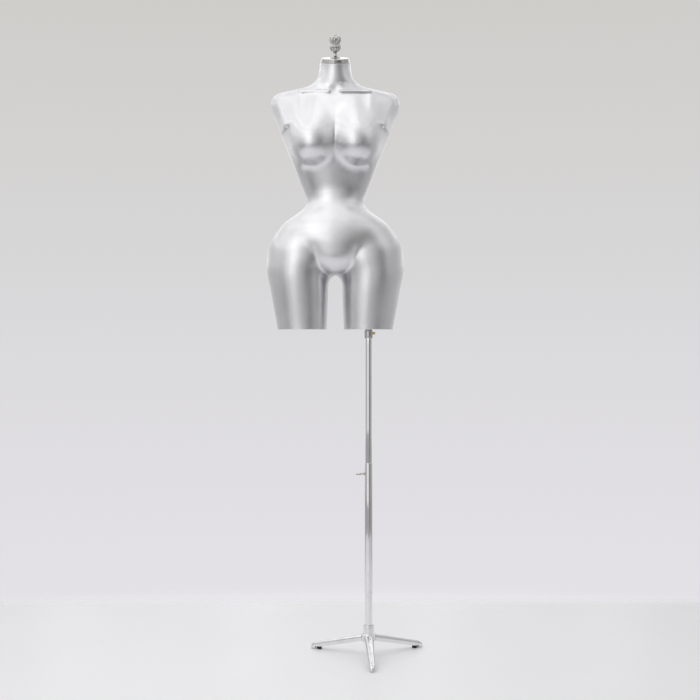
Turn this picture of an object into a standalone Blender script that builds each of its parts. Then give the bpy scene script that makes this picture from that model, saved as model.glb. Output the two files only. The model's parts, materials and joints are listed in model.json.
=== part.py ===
"""Silver torso form on a telescoping chrome stand, modelled in Blender 4.5.

Metres, +Z up. The form faces -Y, and +X is on the right of someone who looks at its front. It has
no head, arms or lower legs. Its pole runs up into the thigh on the +X side, so the torso hangs to
the -X side of the stand. All pieces hang from the empty at the foot of the pole.
"""

import math

import bmesh
import bpy
import numpy as np
from mathutils import Matrix, Vector

# Where the pole stands, so that the whole object's box is centred on the world's origin.
STAND_X, STAND_Y = 0.068, 0.026

# The form. Its own frame has x = 0 on the torso's plane of symmetry and y = 0 at the pole's axis.
TORSO_OFFSET = 0.100  # from the pole's axis to the torso's middle
SHELL_WALL = 0.004
THIGH_CUT = 0.977  # height of the thighs' lower ends
NECK_CENTRE = Vector((0, -0.0063, 1.776))  # middle of the neck's cut face
NECK_TILT = math.radians(16)  # the neck's axis leans forward by this
SHELL_GRID = 0.009
SHELL_DETAIL = 0.105  # share of the sculpted triangles that the shell keeps

# The stand's heights.
HUB_FOOT, HUB_FLANGE_TOP, HUB_TOP = 0.0465, 0.062, 0.0905
LOWER_TUBE_FOOT, LOWER_TUBE_TOP = 0.0528, 0.576
POLE_FOOT, POLE_TOP = 0.360, 1.083
SOCKET_FOOT, SOCKET_STOP = 0.9535, 1.0892

# The stand's radii and walls.
LOWER_TUBE_R, LOWER_TUBE_BORE = 0.011, 0.00985
POLE_R, POLE_BORE = 0.0095, 0.008
SOCKET_R, SOCKET_BORE = 0.0108, 0.00985
COLLAR_R, COLLAR_BORE = 0.0123, 0.0111
COLLAR_FOOT, COLLAR_TOP = 0.9505, 0.9735
FLANGE_R, FLANGE_THICK = 0.036, 0.003
HUB_FLANGE_R, HUB_R, HUB_ROUND, HUB_BORE = 0.0215, 0.0158, 0.001, 0.0113
BOLT_HOLE = 0.0044

# The three legs, in a frame that has +X along the leg and z = 0 on the floor.
LEG_TURN = math.radians(-87.5)  # the front leg's direction
LEG_LENGTH, FOOT_RADIUS = 0.197, 0.168
LEG_SCREW_RADIUS, LUG_FOOT = 0.0158, 0.0425
PAD_R, PAD_TOP = 0.0075, 0.0082

THIGH_X = 0.0991  # middle of a thigh's cut end, from the form's middle plane
THIGH_RECESS = 0.0058  # the plates' undersides lie this far up inside the thighs
PLATE_THICK, PLATE_GAP = 0.008, 0.0025

# The two clamping screws. Each has a nylon tip that presses on the pole.
HEIGHT_LOCK_Z, HEIGHT_LOCK_DROOP = 0.5455, math.radians(5)
LOCK_HOLE = 0.0033
SOCKET_LOCK_Z = 0.9650
GAP = 0.0003  # between pieces that touch

# The finial, along its own axis from the neck cap's top.
CAP_R, CAP_HEIGHT, CAP_WALL = 0.0434, 0.013, 0.0016
STUD_R, STUD_HOLE = 0.003, 0.0034
FOOT_TOP, FINIAL_TOP, FINIAL_BORE = 0.0155, 0.0702, 0.0330


# ---- The torso's shape: a signed distance, negative inside, from lofts and ellipsoids ----


def spline(knots, values):
    """The natural cubic curve through the knots, level beyond its ends."""
    x, y = np.array(knots, float), np.array(values, float)
    gaps = np.diff(x)
    system, right = np.eye(len(x)), np.zeros(len(x))
    for i in range(1, len(x) - 1):
        system[i, i - 1 : i + 2] = gaps[i - 1], 2 * (gaps[i - 1] + gaps[i]), gaps[i]
        right[i] = 6 * ((y[i + 1] - y[i]) / gaps[i] - (y[i] - y[i - 1]) / gaps[i - 1])
    bend = np.linalg.solve(system, right)

    def at(t):
        t = np.clip(t, x[0], x[-1])
        i = np.clip(np.searchsorted(x, t) - 1, 0, len(x) - 2)
        gap, left, past = gaps[i], x[i + 1] - t, t - x[i]
        cubic = (bend[i] * left**3 + bend[i + 1] * past**3) / (6 * gap)
        start, end = y[i] / gap - bend[i] * gap / 6, y[i + 1] / gap - bend[i + 1] * gap / 6
        return cubic + start * left + end * past

    return at


def smooth_min(a, b, reach):
    """The union of two distances, with a fillet where they are within reach of each other."""
    near = np.maximum(reach - np.abs(a - b), 0) / reach
    return np.minimum(a, b) - near**3 * reach / 6


def smooth_max(a, b, reach):
    return -smooth_min(-a, -b, reach)


def smooth_step(t, low, high):
    t = np.clip((t - low) / (high - low), 0, 1)
    return t**3 * (t * (6 * t - 15) + 10)


def loft(stations, power=2.15):
    """A limb whose section is a superellipse. A station is (z, centre x, half width, front, back)."""
    z, centre, half, front, back = np.array(stations).T
    middle_x, half_x = spline(z, centre), spline(z, half)
    middle_y, half_y = spline(z, (front + back) / 2), spline(z, (back - front) / 2)

    def level(x, y, z):
        across = np.abs(x - middle_x(z)) / half_x(z)
        along = np.abs(y - middle_y(z)) / half_y(z)
        return (across**power + along**power) ** (1 / power) - 1

    def distance(x, y, z):
        step = 0.0004
        here = level(x, y, z)
        slope = (level(x + step, y, z) - here) ** 2
        slope = slope + (level(x, y + step, z) - here) ** 2
        slope = slope + (level(x, y, z + step) - here) ** 2
        return here / np.maximum(np.sqrt(slope) / step, 1.5)

    return distance


def ellipsoid(centre, radii, lean=0.0, turn=0.0):
    """An ellipsoid leant about X and then turned about Z, in degrees."""
    rotation = Matrix.Rotation(math.radians(turn), 3, "Z") @ Matrix.Rotation(math.radians(lean), 3, "X")
    inverse = np.array(rotation.transposed())

    def distance(x, y, z):
        offset = x - centre[0], y - centre[1], z - centre[2]
        local = [sum(row[i] * offset[i] for i in range(3)) for row in inverse]
        scaled = np.sqrt(sum((p / r) ** 2 for p, r in zip(local, radii)))
        slope = np.sqrt(sum((p / r**2) ** 2 for p, r in zip(local, radii)))
        return scaled * (scaled - 1) / np.maximum(slope, 1e-6)

    return distance


def capsule(start, end, start_r, end_r, depth=1.0):
    """A round bar from start to end, whose section is depth times as deep in y as it is wide."""
    squash = np.array([1, 1 / depth, 1])
    start, end = np.array(start) * squash, np.array(end) * squash
    run = end - start

    def distance(x, y, z):
        offset = x - start[0], y / depth - start[1], z - start[2]
        t = np.clip(sum(o * r for o, r in zip(offset, run)) / (run @ run), 0, 1)
        apart = np.sqrt(sum((o - t * r) ** 2 for o, r in zip(offset, run)))
        return apart - start_r - (end_r - start_r) * t

    return distance


TRUNK = loft(
    [
        (1.130, 0, 0.040, -0.070, 0.050),
        (1.150, 0, 0.058, -0.086, 0.066),
        (1.180, 0, 0.088, -0.103, 0.092),
        (1.215, 0, 0.121, -0.110, 0.114),
        (1.250, 0, 0.150, -0.112, 0.116),
        (1.290, 0, 0.147, -0.103, 0.098),
        (1.325, 0, 0.1035, -0.086, 0.080),
        (1.345, 0, 0.0872, -0.076, 0.070),
        (1.361, 0, 0.085, -0.071, 0.067),
        (1.385, 0, 0.0925, -0.069, 0.068),
        (1.420, 0, 0.107, -0.075, 0.077),
        (1.466, 0, 0.125, -0.086, 0.092),
        (1.520, 0, 0.1475, -0.092, 0.108),
        (1.555, 0, 0.1612, -0.089, 0.114),
        (1.585, 0, 0.1715, -0.084, 0.117),
        (1.625, 0, 0.189, -0.072, 0.114),
        (1.650, 0, 0.194, -0.0625, 0.106),
        (1.680, 0, 0.191, -0.046, 0.086),
        (1.710, 0, 0.183, -0.026, 0.060),
    ]
)
HIP = loft(
    [
        (0.930, 0.0970, 0.0700, -0.080, 0.078),
        (0.977, 0.0991, 0.0734, -0.082, 0.080),
        (1.040, 0.1035, 0.0805, -0.088, 0.090),
        (1.100, 0.1080, 0.0870, -0.094, 0.104),
        (1.140, 0.1105, 0.0925, -0.097, 0.116),
        (1.160, 0.1080, 0.0974, -0.098, 0.121),
        (1.180, 0.1030, 0.1024, -0.099, 0.124),
        (1.215, 0.0980, 0.1035, -0.098, 0.122),
        (1.250, 0.0880, 0.1000, -0.092, 0.112),
        (1.290, 0.0680, 0.0840, -0.082, 0.096),
        (1.325, 0.0430, 0.0580, -0.068, 0.078),
        (1.350, 0.0330, 0.0380, -0.046, 0.054),
        (1.385, 0.0300, 0.0200, -0.030, 0.036),
    ]
)
BUTTOCK = ellipsoid((0.080, 0.050, 1.192), (0.092, 0.098, 0.084), lean=-8)
SHOULDER_LINE = spline(
    [0, 0.050, 0.073, 0.091, 0.128, 0.155, 0.182, 0.230],
    [1.716, 1.7135, 1.708, 1.7025, 1.6945, 1.6900, 1.6858, 1.6700],
)
NECK = capsule((0, 0.030, 1.640), (0, -0.026, 1.850), 0.050, 0.0435, depth=1.06)
BREAST = ellipsoid((0.065, -0.077, 1.529), (0.057, 0.058, 0.061), turn=12)
BREAST_SLOPE = ellipsoid((0.060, -0.062, 1.560), (0.056, 0.044, 0.074), lean=-16, turn=8)
COLLARBONE = capsule((0.018, -0.0530, 1.6820), (0.104, -0.0395, 1.6835), 0.0034, 0.0036)
THROAT_HOLLOW = ellipsoid((0, -0.0655, 1.690), (0.016, 0.0165, 0.015))
# The planes that bound the short round arm: its front, the slanting face that ends it, the
# underside that runs down to the armpit, its inner edge and its back.
ARM_FACES = [
    ((0.108, -0.0520, 1.6445), (0.27, -0.87, 0.40)),
    ((0.1465, -0.0680, 1.5850), (0.927, -0.3175, -0.200)),
    ((0.147, -0.0680, 1.5900), (-0.8375, -0.036, -0.546)),
    ((0.107, -0.0500, 1.6600), (-0.950, -0.300, 0.080)),
    ((0.150, -0.0160, 1.6500), (0, 1, 0)),
]


def hip_and_thigh(x, y, z):
    thigh = smooth_max(HIP(x, y, z), z - 1.385, 0.03)
    return smooth_min(thigh, BUTTOCK(x, y, z), 0.035)


def arm_end(side, y, z):
    """The short arm, sliced off by a plane that faces outwards, down and forwards."""
    distance = z - 1.76
    for point, normal in ARM_FACES:
        steps = zip((side, y, z), point, normal)
        distance = smooth_max(distance, sum((p - q) * n for p, q, n in steps), 0.018)
    return distance


def chest(x, y, z):
    """Two breasts, and above them one slope that both run up into."""
    slope = smooth_min(BREAST_SLOPE(x, y, z), BREAST_SLOPE(-x, y, z), 0.07)
    return smooth_min(BREAST(np.abs(x), y, z), slope, 0.06)


def form(x, y, z):
    """The signed distance to the whole form, whose two ends run on past the cuts."""
    side = np.abs(x)
    trunk = smooth_max(TRUNK(x, y, z), 1.141 - z, 0.05)
    trunk = smooth_min(trunk, arm_end(side, y, z), 0.016)
    trunk = smooth_max(trunk, 0.97 * (z - SHOULDER_LINE(side)), 0.04)
    legs = smooth_min(hip_and_thigh(x, y, z), hip_and_thigh(-x, y, z), 0.025)
    shape = smooth_min(legs, trunk, 0.012 + 0.020 * smooth_step(z, 1.18, 1.26))
    shape = smooth_min(shape, NECK(x, y, z), 0.065)
    shape = smooth_max(shape, -THROAT_HOLLOW(x, y, z), 0.025)
    shape = smooth_min(shape, COLLARBONE(side, y, z), 0.010)
    fillet = 0.036 + 0.040 * smooth_step(z, 1.475, 1.60) + 0.030 * smooth_step(side, 0.070, 0.115)
    return smooth_min(shape, chest(x, y, z), fillet)


def cell_points(values, step):
    """One point for each grid cell that the surface crosses: the mean of its edge crossings."""
    shape = tuple(n - 1 for n in values.shape)
    total, count = np.zeros(shape + (3,)), np.zeros(shape)
    for axis in range(3):
        for across in range(4):
            start = [0, 0, 0]
            start[(axis + 1) % 3], start[(axis + 2) % 3] = across % 2, across // 2
            end = [s + (i == axis) for i, s in enumerate(start)]
            a = values[tuple(slice(s, s + n) for s, n in zip(start, shape))]
            b = values[tuple(slice(s, s + n) for s, n in zip(end, shape))]
            crossed = (a < 0) != (b < 0)
            point = np.zeros(shape + (3,)) + start
            point[..., axis] = a / np.where(crossed, a - b, 1)
            total += point * crossed[..., None]
            count += crossed
    cells = np.argwhere(count > 0)
    index = np.full(shape, -1)
    index[tuple(cells.T)] = np.arange(len(cells))
    mean = total[tuple(cells.T)] / count[tuple(cells.T)][:, None]
    return (cells + mean) * step, index


def cell_faces(values, index):
    """A quad round each grid edge whose ends lie on two sides of the surface."""
    inside, faces = values < 0, []
    for axis in range(3):
        u, v = (axis + 1) % 3, (axis + 2) % 3
        here = [slice(1, -1)] * 3
        here[axis] = slice(0, -1)
        ahead = list(here)
        ahead[axis] = slice(1, None)
        low, high = inside[tuple(here)], inside[tuple(ahead)]
        edges = np.argwhere(low != high)
        corner = edges + 1
        corner[:, axis] -= 1
        quad = []
        for du, dv in ((1, 1), (0, 1), (0, 0), (1, 0)):
            cell = corner.copy()
            cell[:, u] -= du
            cell[:, v] -= dv
            quad.append(index[tuple(cell.T)])
        quad = np.stack(quad, axis=1)
        leaving = low[tuple(edges.T)]
        faces += [quad[leaving], quad[~leaving, ::-1]]
    return np.concatenate(faces)


def gradient(field, points, step=0.0003):
    columns = []
    for axis in np.eye(3) * step:
        columns.append(field(*(points + axis).T) - field(*(points - axis).T))
    return np.stack(columns, axis=1) / (2 * step)


def surface(field, low, high, step):
    """A closed quad mesh of the field's zero level: its points lie on the surface itself."""
    axes = [np.arange(a, b + step, step) for a, b in zip(low, high)]
    grid = np.meshgrid(*axes, indexing="ij", sparse=True)
    values = np.broadcast_to(field(*grid), [len(axis) for axis in axes])
    points, index = cell_points(values, step)
    points += low
    for _ in range(3):
        slope = gradient(field, points)
        points -= slope * (field(*points.T) / np.maximum((slope**2).sum(1), 0.05))[:, None]
    return points, cell_faces(values, index)


# ---- Making objects ----


def clear_scene():
    for thing in list(bpy.data.objects):
        bpy.data.objects.remove(thing)


def material(name, colour, metallic, roughness):
    made = bpy.data.materials.new(name)
    made.use_nodes = True
    shader = made.node_tree.nodes["Principled BSDF"]
    shader.inputs["Base Color"].default_value = (*colour, 1)
    shader.inputs["Metallic"].default_value = metallic
    shader.inputs["Roughness"].default_value = roughness
    return made


def silver_paint():
    return material("silver_paint", (0.74, 0.74, 0.75), 1.0, 0.30)


def chrome():
    return material("chrome", (0.82, 0.82, 0.83), 1.0, 0.06)


def bare_steel():
    return material("bare_steel", (0.55, 0.55, 0.56), 1.0, 0.32)


def brass():
    return material("brass", (0.80, 0.58, 0.27), 1.0, 0.24)


def black_rubber():
    return material("black_rubber", (0.02, 0.02, 0.02), 0.0, 0.72)


def white_nylon():
    return material("white_nylon", (0.80, 0.80, 0.77), 0.0, 0.45)


def grey_board():
    return material("grey_board", (0.34, 0.34, 0.35), 0.0, 0.60)


def empty(name, location, parent=None, rotation=Matrix.Identity(3)):
    made = bpy.data.objects.new(name, None)
    bpy.context.scene.collection.objects.link(made)
    made.parent = parent
    made.matrix_local = Matrix.Translation(location) @ rotation.to_4x4()
    return made


def place(name, mesh, look, parent, location=(0, 0, 0), turn=0.0, smooth=30):
    """An object of this mesh, turned about its parent's Z, with edges sharp past an angle."""
    made = bpy.data.objects.new(name, mesh)
    bpy.context.scene.collection.objects.link(made)
    made.parent = parent
    made.location = location
    made.rotation_euler.z = turn
    if not mesh.materials:
        mesh.materials.append(look())
        mesh.shade_smooth()
        mesh.set_sharp_from_angle(angle=math.radians(smooth))
    return made


def turned(profile, sides=20):
    """A solid turned about Z from (radius, height) points, from its underside up its outside.

    A profile that starts and ends on the axis is a solid, and any other is a closed ring.
    """
    rings, build = [], bmesh.new()
    for radius, height in profile:
        if radius == 0:
            rings.append([build.verts.new((0, 0, height))] * sides)
            continue
        ring = []
        for i in range(sides):
            angle = 2 * math.pi * i / sides
            ring.append(build.verts.new((radius * math.cos(angle), radius * math.sin(angle), height)))
        rings.append(ring)
    pairs = list(zip(rings, rings[1:]))
    if profile[0][0] != 0:
        pairs.append((rings[-1], rings[0]))
    for low, high in pairs:
        for i in range(sides):
            corners = dict.fromkeys((low[i], low[(i + 1) % sides], high[(i + 1) % sides], high[i]))
            if len(corners) > 2:
                build.faces.new(corners)
    return finished(build)


def finished(build):
    bmesh.ops.recalc_face_normals(build, faces=build.faces)
    mesh = bpy.data.meshes.new("piece")
    build.to_mesh(mesh)
    build.free()
    return mesh


def tube(radius, bore, low, high, bevel=0.0, sides=20):
    outside = [(radius, low), (radius, high)]
    if bevel:
        outside = [(radius - bevel, low), (radius, low + bevel)]
        outside += [(radius, high - bevel), (radius - bevel, high)]
    return turned([(bore, low)] + outside + [(bore, high)], sides)


def rod(radius, low, high, bevel=0.0, sides=20):
    return tube(radius, 0, low, high, bevel, sides)


def moved(mesh, matrix):
    mesh.transform(matrix)
    return mesh


def drill(x, y, radius, low, high, sides=14):
    """A tool for an upright hole right through everything between the two heights."""
    return moved(rod(radius, low - 0.01, high + 0.01, sides=sides), Matrix.Translation((x, y, 0)))


def box(low, high):
    build = bmesh.new()
    bmesh.ops.create_cube(build, size=1)
    for vert in build.verts:
        vert.co = Vector(a + (c + 0.5) * (b - a) for a, c, b in zip(low, vert.co, high))
    return finished(build)


def cut(mesh, tools, operation="DIFFERENCE"):
    """The mesh with each tool taken from it, or joined to it, by an exact Boolean."""
    body = bpy.data.objects.new("body", mesh)
    bpy.context.scene.collection.objects.link(body)
    helpers = [body]
    for tool in tools:
        helper = bpy.data.objects.new("tool", tool)
        bpy.context.scene.collection.objects.link(helper)
        step = body.modifiers.new("step", "BOOLEAN")
        step.operation, step.object, step.solver = operation, helper, "EXACT"
        helpers.append(helper)
    bpy.context.view_layer.update()
    done = bpy.data.meshes.new_from_object(body.evaluated_get(bpy.context.evaluated_depsgraph_get()))
    done.name = "piece"
    for helper in helpers:
        bpy.data.objects.remove(helper)
    return done


# ---- The form ----


def neck_frame():
    """Position and rotation of the neck's cut face in the form's frame: +Z along the neck."""
    return NECK_CENTRE, Matrix.Rotation(NECK_TILT, 3, "X")


def shell_skin():
    """The outer skin of the form, cut off flat at the neck and at both thighs."""
    points, faces = surface(form, (-0.225, -0.185, 0.955), (0.225, 0.185, 1.81), SHELL_GRID)
    skin = bpy.data.meshes.new("skin")
    skin.from_pydata(points.tolist(), [], faces.tolist())
    helper = bpy.data.objects.new("skin", skin)
    bpy.context.scene.collection.objects.link(helper)
    thin = helper.modifiers.new("thin", "DECIMATE")
    thin.ratio, thin.use_collapse_triangulate = SHELL_DETAIL, True
    bpy.context.view_layer.update()
    build = bmesh.new()
    build.from_object(helper, bpy.context.evaluated_depsgraph_get())
    bpy.data.objects.remove(helper)
    centre, rotation = neck_frame()
    ends = [(Vector((0, 0, THIGH_CUT)), Vector((0, 0, -1))), (centre, rotation @ Vector((0, 0, 1)))]
    for point, outward in ends:
        parts = build.verts[:] + build.edges[:] + build.faces[:]
        bmesh.ops.bisect_plane(build, geom=parts, plane_co=point, plane_no=outward, clear_outer=True)
    rim = [vert for vert in build.verts if vert.is_boundary]
    bmesh.ops.remove_doubles(build, verts=rim, dist=0.002)
    bmesh.ops.triangulate(build, faces=build.faces)
    return finished(build)


def build_shell(torso):
    shell = place("torso_shell", shell_skin(), silver_paint, torso, smooth=50)
    wall = shell.modifiers.new("wall", "SOLIDIFY")
    wall.thickness, wall.offset, wall.use_rim = SHELL_WALL, -1, True


def thigh_outline(side, height, inset, points=32):
    """The thigh's section at this height, drawn in by the inset, as points round its middle."""
    outline = []
    for i in range(points):
        angle = 2 * math.pi * i / points
        near, far = 0.0, 0.15
        while far - near > 0.00005:
            middle = (near + far) / 2
            x, y = THIGH_X + middle * math.cos(angle), middle * math.sin(angle)
            near, far = (middle, far) if form(x, y, height) < -inset else (near, middle)
        outline.append((side * (THIGH_X + near * math.cos(angle)), near * math.sin(angle)))
    return outline


def thigh_plate(side, holes):
    """A flat board that closes a thigh, with round holes given as (x, y, radius)."""
    low = THIGH_CUT + THIGH_RECESS
    build = bmesh.new()
    inset = SHELL_WALL + PLATE_GAP
    ring = [build.verts.new((x, y, low)) for x, y in thigh_outline(side, low, inset)]
    face = build.faces.new(ring)
    raised = bmesh.ops.extrude_face_region(build, geom=[face])["geom"]
    for vert in raised:
        if isinstance(vert, bmesh.types.BMVert):
            vert.co.z += PLATE_THICK
    mesh = finished(build)
    drills = [drill(x, y, radius, low, low + PLATE_THICK) for x, y, radius in holes]
    return cut(mesh, drills) if drills else mesh


def flange_screw_spots():
    """The four screw places of the socket's flange, in x and y from the pole's axis."""
    ring = 0.027
    angles = [math.radians(45 + 90 * i) for i in range(4)]
    return [(ring * math.cos(a), ring * math.sin(a)) for a in angles]


def build_thigh_ends(torso, socket):
    """The two boards, and the socket's flange with its screws in the +X thigh."""
    under = THIGH_CUT + THIGH_RECESS
    holes = [(TORSO_OFFSET, 0, SOCKET_R + 0.0005)]
    holes += [(TORSO_OFFSET + x, y, 0.0021) for x, y in flange_screw_spots()]
    place("left_thigh_plate", thigh_plate(1, holes), grey_board, torso)
    place("right_thigh_plate", thigh_plate(-1, []), grey_board, torso)
    top = under - GAP
    low = top - FLANGE_THICK
    disc = tube(FLANGE_R, SOCKET_R + GAP, low, top, sides=24)
    drills = [drill(x, y, 0.0023, low, top) for x, y in flange_screw_spots()]
    place("socket_flange", cut(disc, drills), bare_steel, socket)
    screw = turned(
        [
            (0, low - 0.0020),
            (0.0020, low - 0.0020),
            (0.0034, low - 0.0012),
            (0.0038, low - GAP),
            (0.0018, low - GAP),
            (0.0018, top + 0.0050),
            (0, top + 0.0070),
        ],
        sides=10,
    )
    for i, (x, y) in enumerate(flange_screw_spots(), 1):
        place(f"flange_screw_{i}", screw, bare_steel, socket, (x, y, 0))


def build_socket(socket):
    """The closed tube in the thigh that stands on the pole, and the collar round its mouth."""
    lock = Matrix.Translation((0, 0, SOCKET_LOCK_Z)) @ Matrix.Rotation(math.pi / 2, 4, "Y")
    sleeve = turned(
        [
            (SOCKET_BORE, SOCKET_FOOT),
            (SOCKET_R, SOCKET_FOOT),
            (SOCKET_R, SOCKET_STOP + 0.003),
            (0, SOCKET_STOP + 0.003),
            (0, SOCKET_STOP),
            (SOCKET_BORE, SOCKET_STOP),
        ],
        sides=24,
    )
    collar = turned(
        [
            (COLLAR_BORE, COLLAR_FOOT),
            (COLLAR_R - 0.0022, COLLAR_FOOT),
            (COLLAR_R - 0.0006, COLLAR_FOOT + 0.0006),
            (COLLAR_R, COLLAR_FOOT + 0.0022),
            (COLLAR_R, COLLAR_TOP - 0.0006),
            (COLLAR_R - 0.0006, COLLAR_TOP),
            (COLLAR_BORE, COLLAR_TOP),
        ],
        sides=24,
    )
    passage = moved(rod(0.0028, 0.005, 0.02, sides=16), lock)
    place("socket_tube", cut(sleeve, [passage.copy()]), bare_steel, socket)
    place("socket_collar", cut(collar, [passage]), chrome, socket)


def build_socket_lock(socket):
    """The brass thumb screw of the collar, along +X, with its nylon tip."""
    out = Matrix.Rotation(math.pi / 2, 3, "Y")
    travel = empty("socket_lock_axis", (0, 0, SOCKET_LOCK_Z), socket, out)
    place("socket_lock_tip", rod(0.0021, 0.0098, 0.0114, sides=14), white_nylon, travel)
    screw = turned(
        [
            (0, 0.0117),
            (0.0024, 0.0117),
            (0.0024, 0.0131),
            (0.0034, 0.0134),
            (0.0040, 0.0142),
            (0.0040, 0.0192),
            (0.0034, 0.0200),
            (0, 0.0200),
        ],
        sides=20,
    )
    place("socket_lock_screw", screw, brass, travel)


# ---- The neck cap and its finial ----


def build_neck(torso):
    centre, rotation = neck_frame()
    neck = empty("neck_axis", centre, torso, rotation)
    place("neck_plug", tube(0.0385, 0.0036, -0.0125, -0.0005, sides=28), grey_board, neck)
    cap = turned(
        [
            (CAP_R - CAP_WALL, GAP),
            (CAP_R, GAP),
            (CAP_R, CAP_HEIGHT - 0.0016),
            (CAP_R - 0.0005, CAP_HEIGHT - 0.0005),
            (CAP_R - 0.0016, CAP_HEIGHT),
            (STUD_HOLE, CAP_HEIGHT),
            (STUD_HOLE, CAP_HEIGHT - CAP_WALL),
            (CAP_R - CAP_WALL, CAP_HEIGHT - CAP_WALL),
        ],
        sides=32,
    )
    place("neck_cap", cap, chrome, neck)
    place("finial_stud", rod(STUD_R, -0.0230, CAP_HEIGHT + 0.0300, 0.0006, 14), bare_steel, neck)
    place("stud_washer", tube(0.0080, STUD_HOLE, -0.0143, -0.0128, sides=20), bare_steel, neck)
    nut = cut(rod(0.0058, -0.0196, -0.0146, sides=6), [rod(STUD_HOLE, -0.03, 0, sides=16)])
    place("stud_nut", nut, bare_steel, neck)
    return empty("finial_axis", (0, 0, CAP_HEIGHT), neck)


def build_finial(axis):
    foot = turned(
        [
            (STUD_HOLE, GAP),
            (0.0150, GAP),
            (0.0155, 0.0012),
            (0.0150, 0.0030),
            (0.0118, 0.0040),
            (0.0080, 0.0070),
            (0.0052, 0.0112),
            (0.0046, FOOT_TOP),
            (STUD_HOLE, FOOT_TOP),
        ],
        sides=24,
    )
    place("finial_foot", foot, chrome, axis)
    bulb = [
        (0.0052, FOOT_TOP + GAP),
        (0.0085, 0.0182),
        (0.0130, 0.0213),
        (0.0158, 0.0276),
        (0.0165, 0.0359),
        (0.0152, 0.0423),
        (0.0143, 0.0448),
        (0.0162, 0.0488),
        (0.0180, 0.0561),
        (0.0165, 0.0621),
        (0.0120, 0.0667),
        (0.0055, 0.0697),
    ]
    solid = turned([(0, FOOT_TOP + GAP)] + bulb + [(0, FINIAL_TOP)], sides=24)
    bore = rod(STUD_HOLE, FOOT_TOP - 0.01, FINIAL_BORE, sides=16)
    place("finial", cut(solid, [bore]), chrome, axis, smooth=70)


# ---- The stand ----


def build_upper_pole(pole):
    place("upper_pole", tube(POLE_R, POLE_BORE, POLE_FOOT, POLE_TOP), chrome, pole)
    glide = turned(
        [
            (0, POLE_FOOT - 0.003),
            (0.0088, POLE_FOOT - 0.003),
            (POLE_R, POLE_FOOT - 0.0022),
            (POLE_R, POLE_FOOT - GAP),
            (POLE_BORE - GAP, POLE_FOOT - GAP),
            (POLE_BORE - GAP, POLE_FOOT + 0.014),
            (0, POLE_FOOT + 0.014),
        ]
    )
    place("pole_glide", glide, white_nylon, pole)
    plug = turned(
        [
            (0, POLE_TOP - 0.014),
            (POLE_BORE - GAP, POLE_TOP - 0.014),
            (POLE_BORE - GAP, POLE_TOP + GAP),
            (POLE_R, POLE_TOP + GAP),
            (POLE_R, POLE_TOP + 0.0022),
            (0.0088, POLE_TOP + 0.003),
            (0, POLE_TOP + 0.003),
        ]
    )
    place("pole_top_plug", plug, bare_steel, pole)
    washer_low = POLE_TOP + 0.003 + GAP
    place("thrust_washer", rod(0.0092, washer_low, SOCKET_STOP - GAP), white_nylon, pole)


def build_lower_tube(stand):
    pipe = tube(LOWER_TUBE_R, LOWER_TUBE_BORE, LOWER_TUBE_FOOT, LOWER_TUBE_TOP)
    passage = moved(rod(LOCK_HOLE, 0.005, 0.02, sides=16), height_lock_frame())
    place("lower_tube", cut(pipe, [passage]), chrome, stand)
    slug = tube(LOWER_TUBE_BORE - GAP, 0.0043, LOWER_TUBE_FOOT + GAP, 0.074, 0.0006)
    place("tube_slug", slug, bare_steel, stand)


def height_lock_frame():
    """The height lock's axis, out of the pole towards -X with a slight droop, as local +Z."""
    swing = Matrix.Rotation(-math.pi / 2 - HEIGHT_LOCK_DROOP, 4, "Y")
    return Matrix.Translation((0, 0, HEIGHT_LOCK_Z)) @ swing


def build_height_lock(stand):
    frame = height_lock_frame()
    boss = moved(rod(0.0054, 0.008, 0.0165, 0.0006, 20), frame)
    saddle = rod(LOWER_TUBE_R + GAP, HEIGHT_LOCK_Z - 0.02, HEIGHT_LOCK_Z + 0.02, sides=24)
    bore = moved(rod(LOCK_HOLE, 0.004, 0.03, sides=16), frame)
    place("lock_boss", cut(boss, [saddle, bore]), chrome, stand)
    travel = empty("height_lock_axis", frame.to_translation(), stand, frame.to_3x3())
    place("height_lock_tip", rod(0.0026, 0.0098, 0.0118, sides=14), white_nylon, travel)
    place("height_lock_screw", lock_screw(), chrome, travel, smooth=40)


def lock_screw():
    """A threaded shank that runs out into a flat thumb grip lying in the horizontal plane."""
    shank = turned(
        [
            (0, 0.0121),
            (0.0029, 0.0121),
            (0.0029, 0.0172),
            (0.0020, 0.0182),
            (0.0020, 0.0210),
            (0, 0.0210),
        ],
        sides=16,
    )
    middle = Matrix.Translation((0, 0, 0.0292))
    stretch = Matrix.Diagonal((1, 0.82, 1, 1))
    grip = rod(0.0088, -0.0024, 0.0024, 0.0011, 20)
    grip = moved(grip, middle @ Matrix.Rotation(math.pi / 2, 4, "Y") @ stretch)
    return cut(shank, [grip], "UNION")


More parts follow.
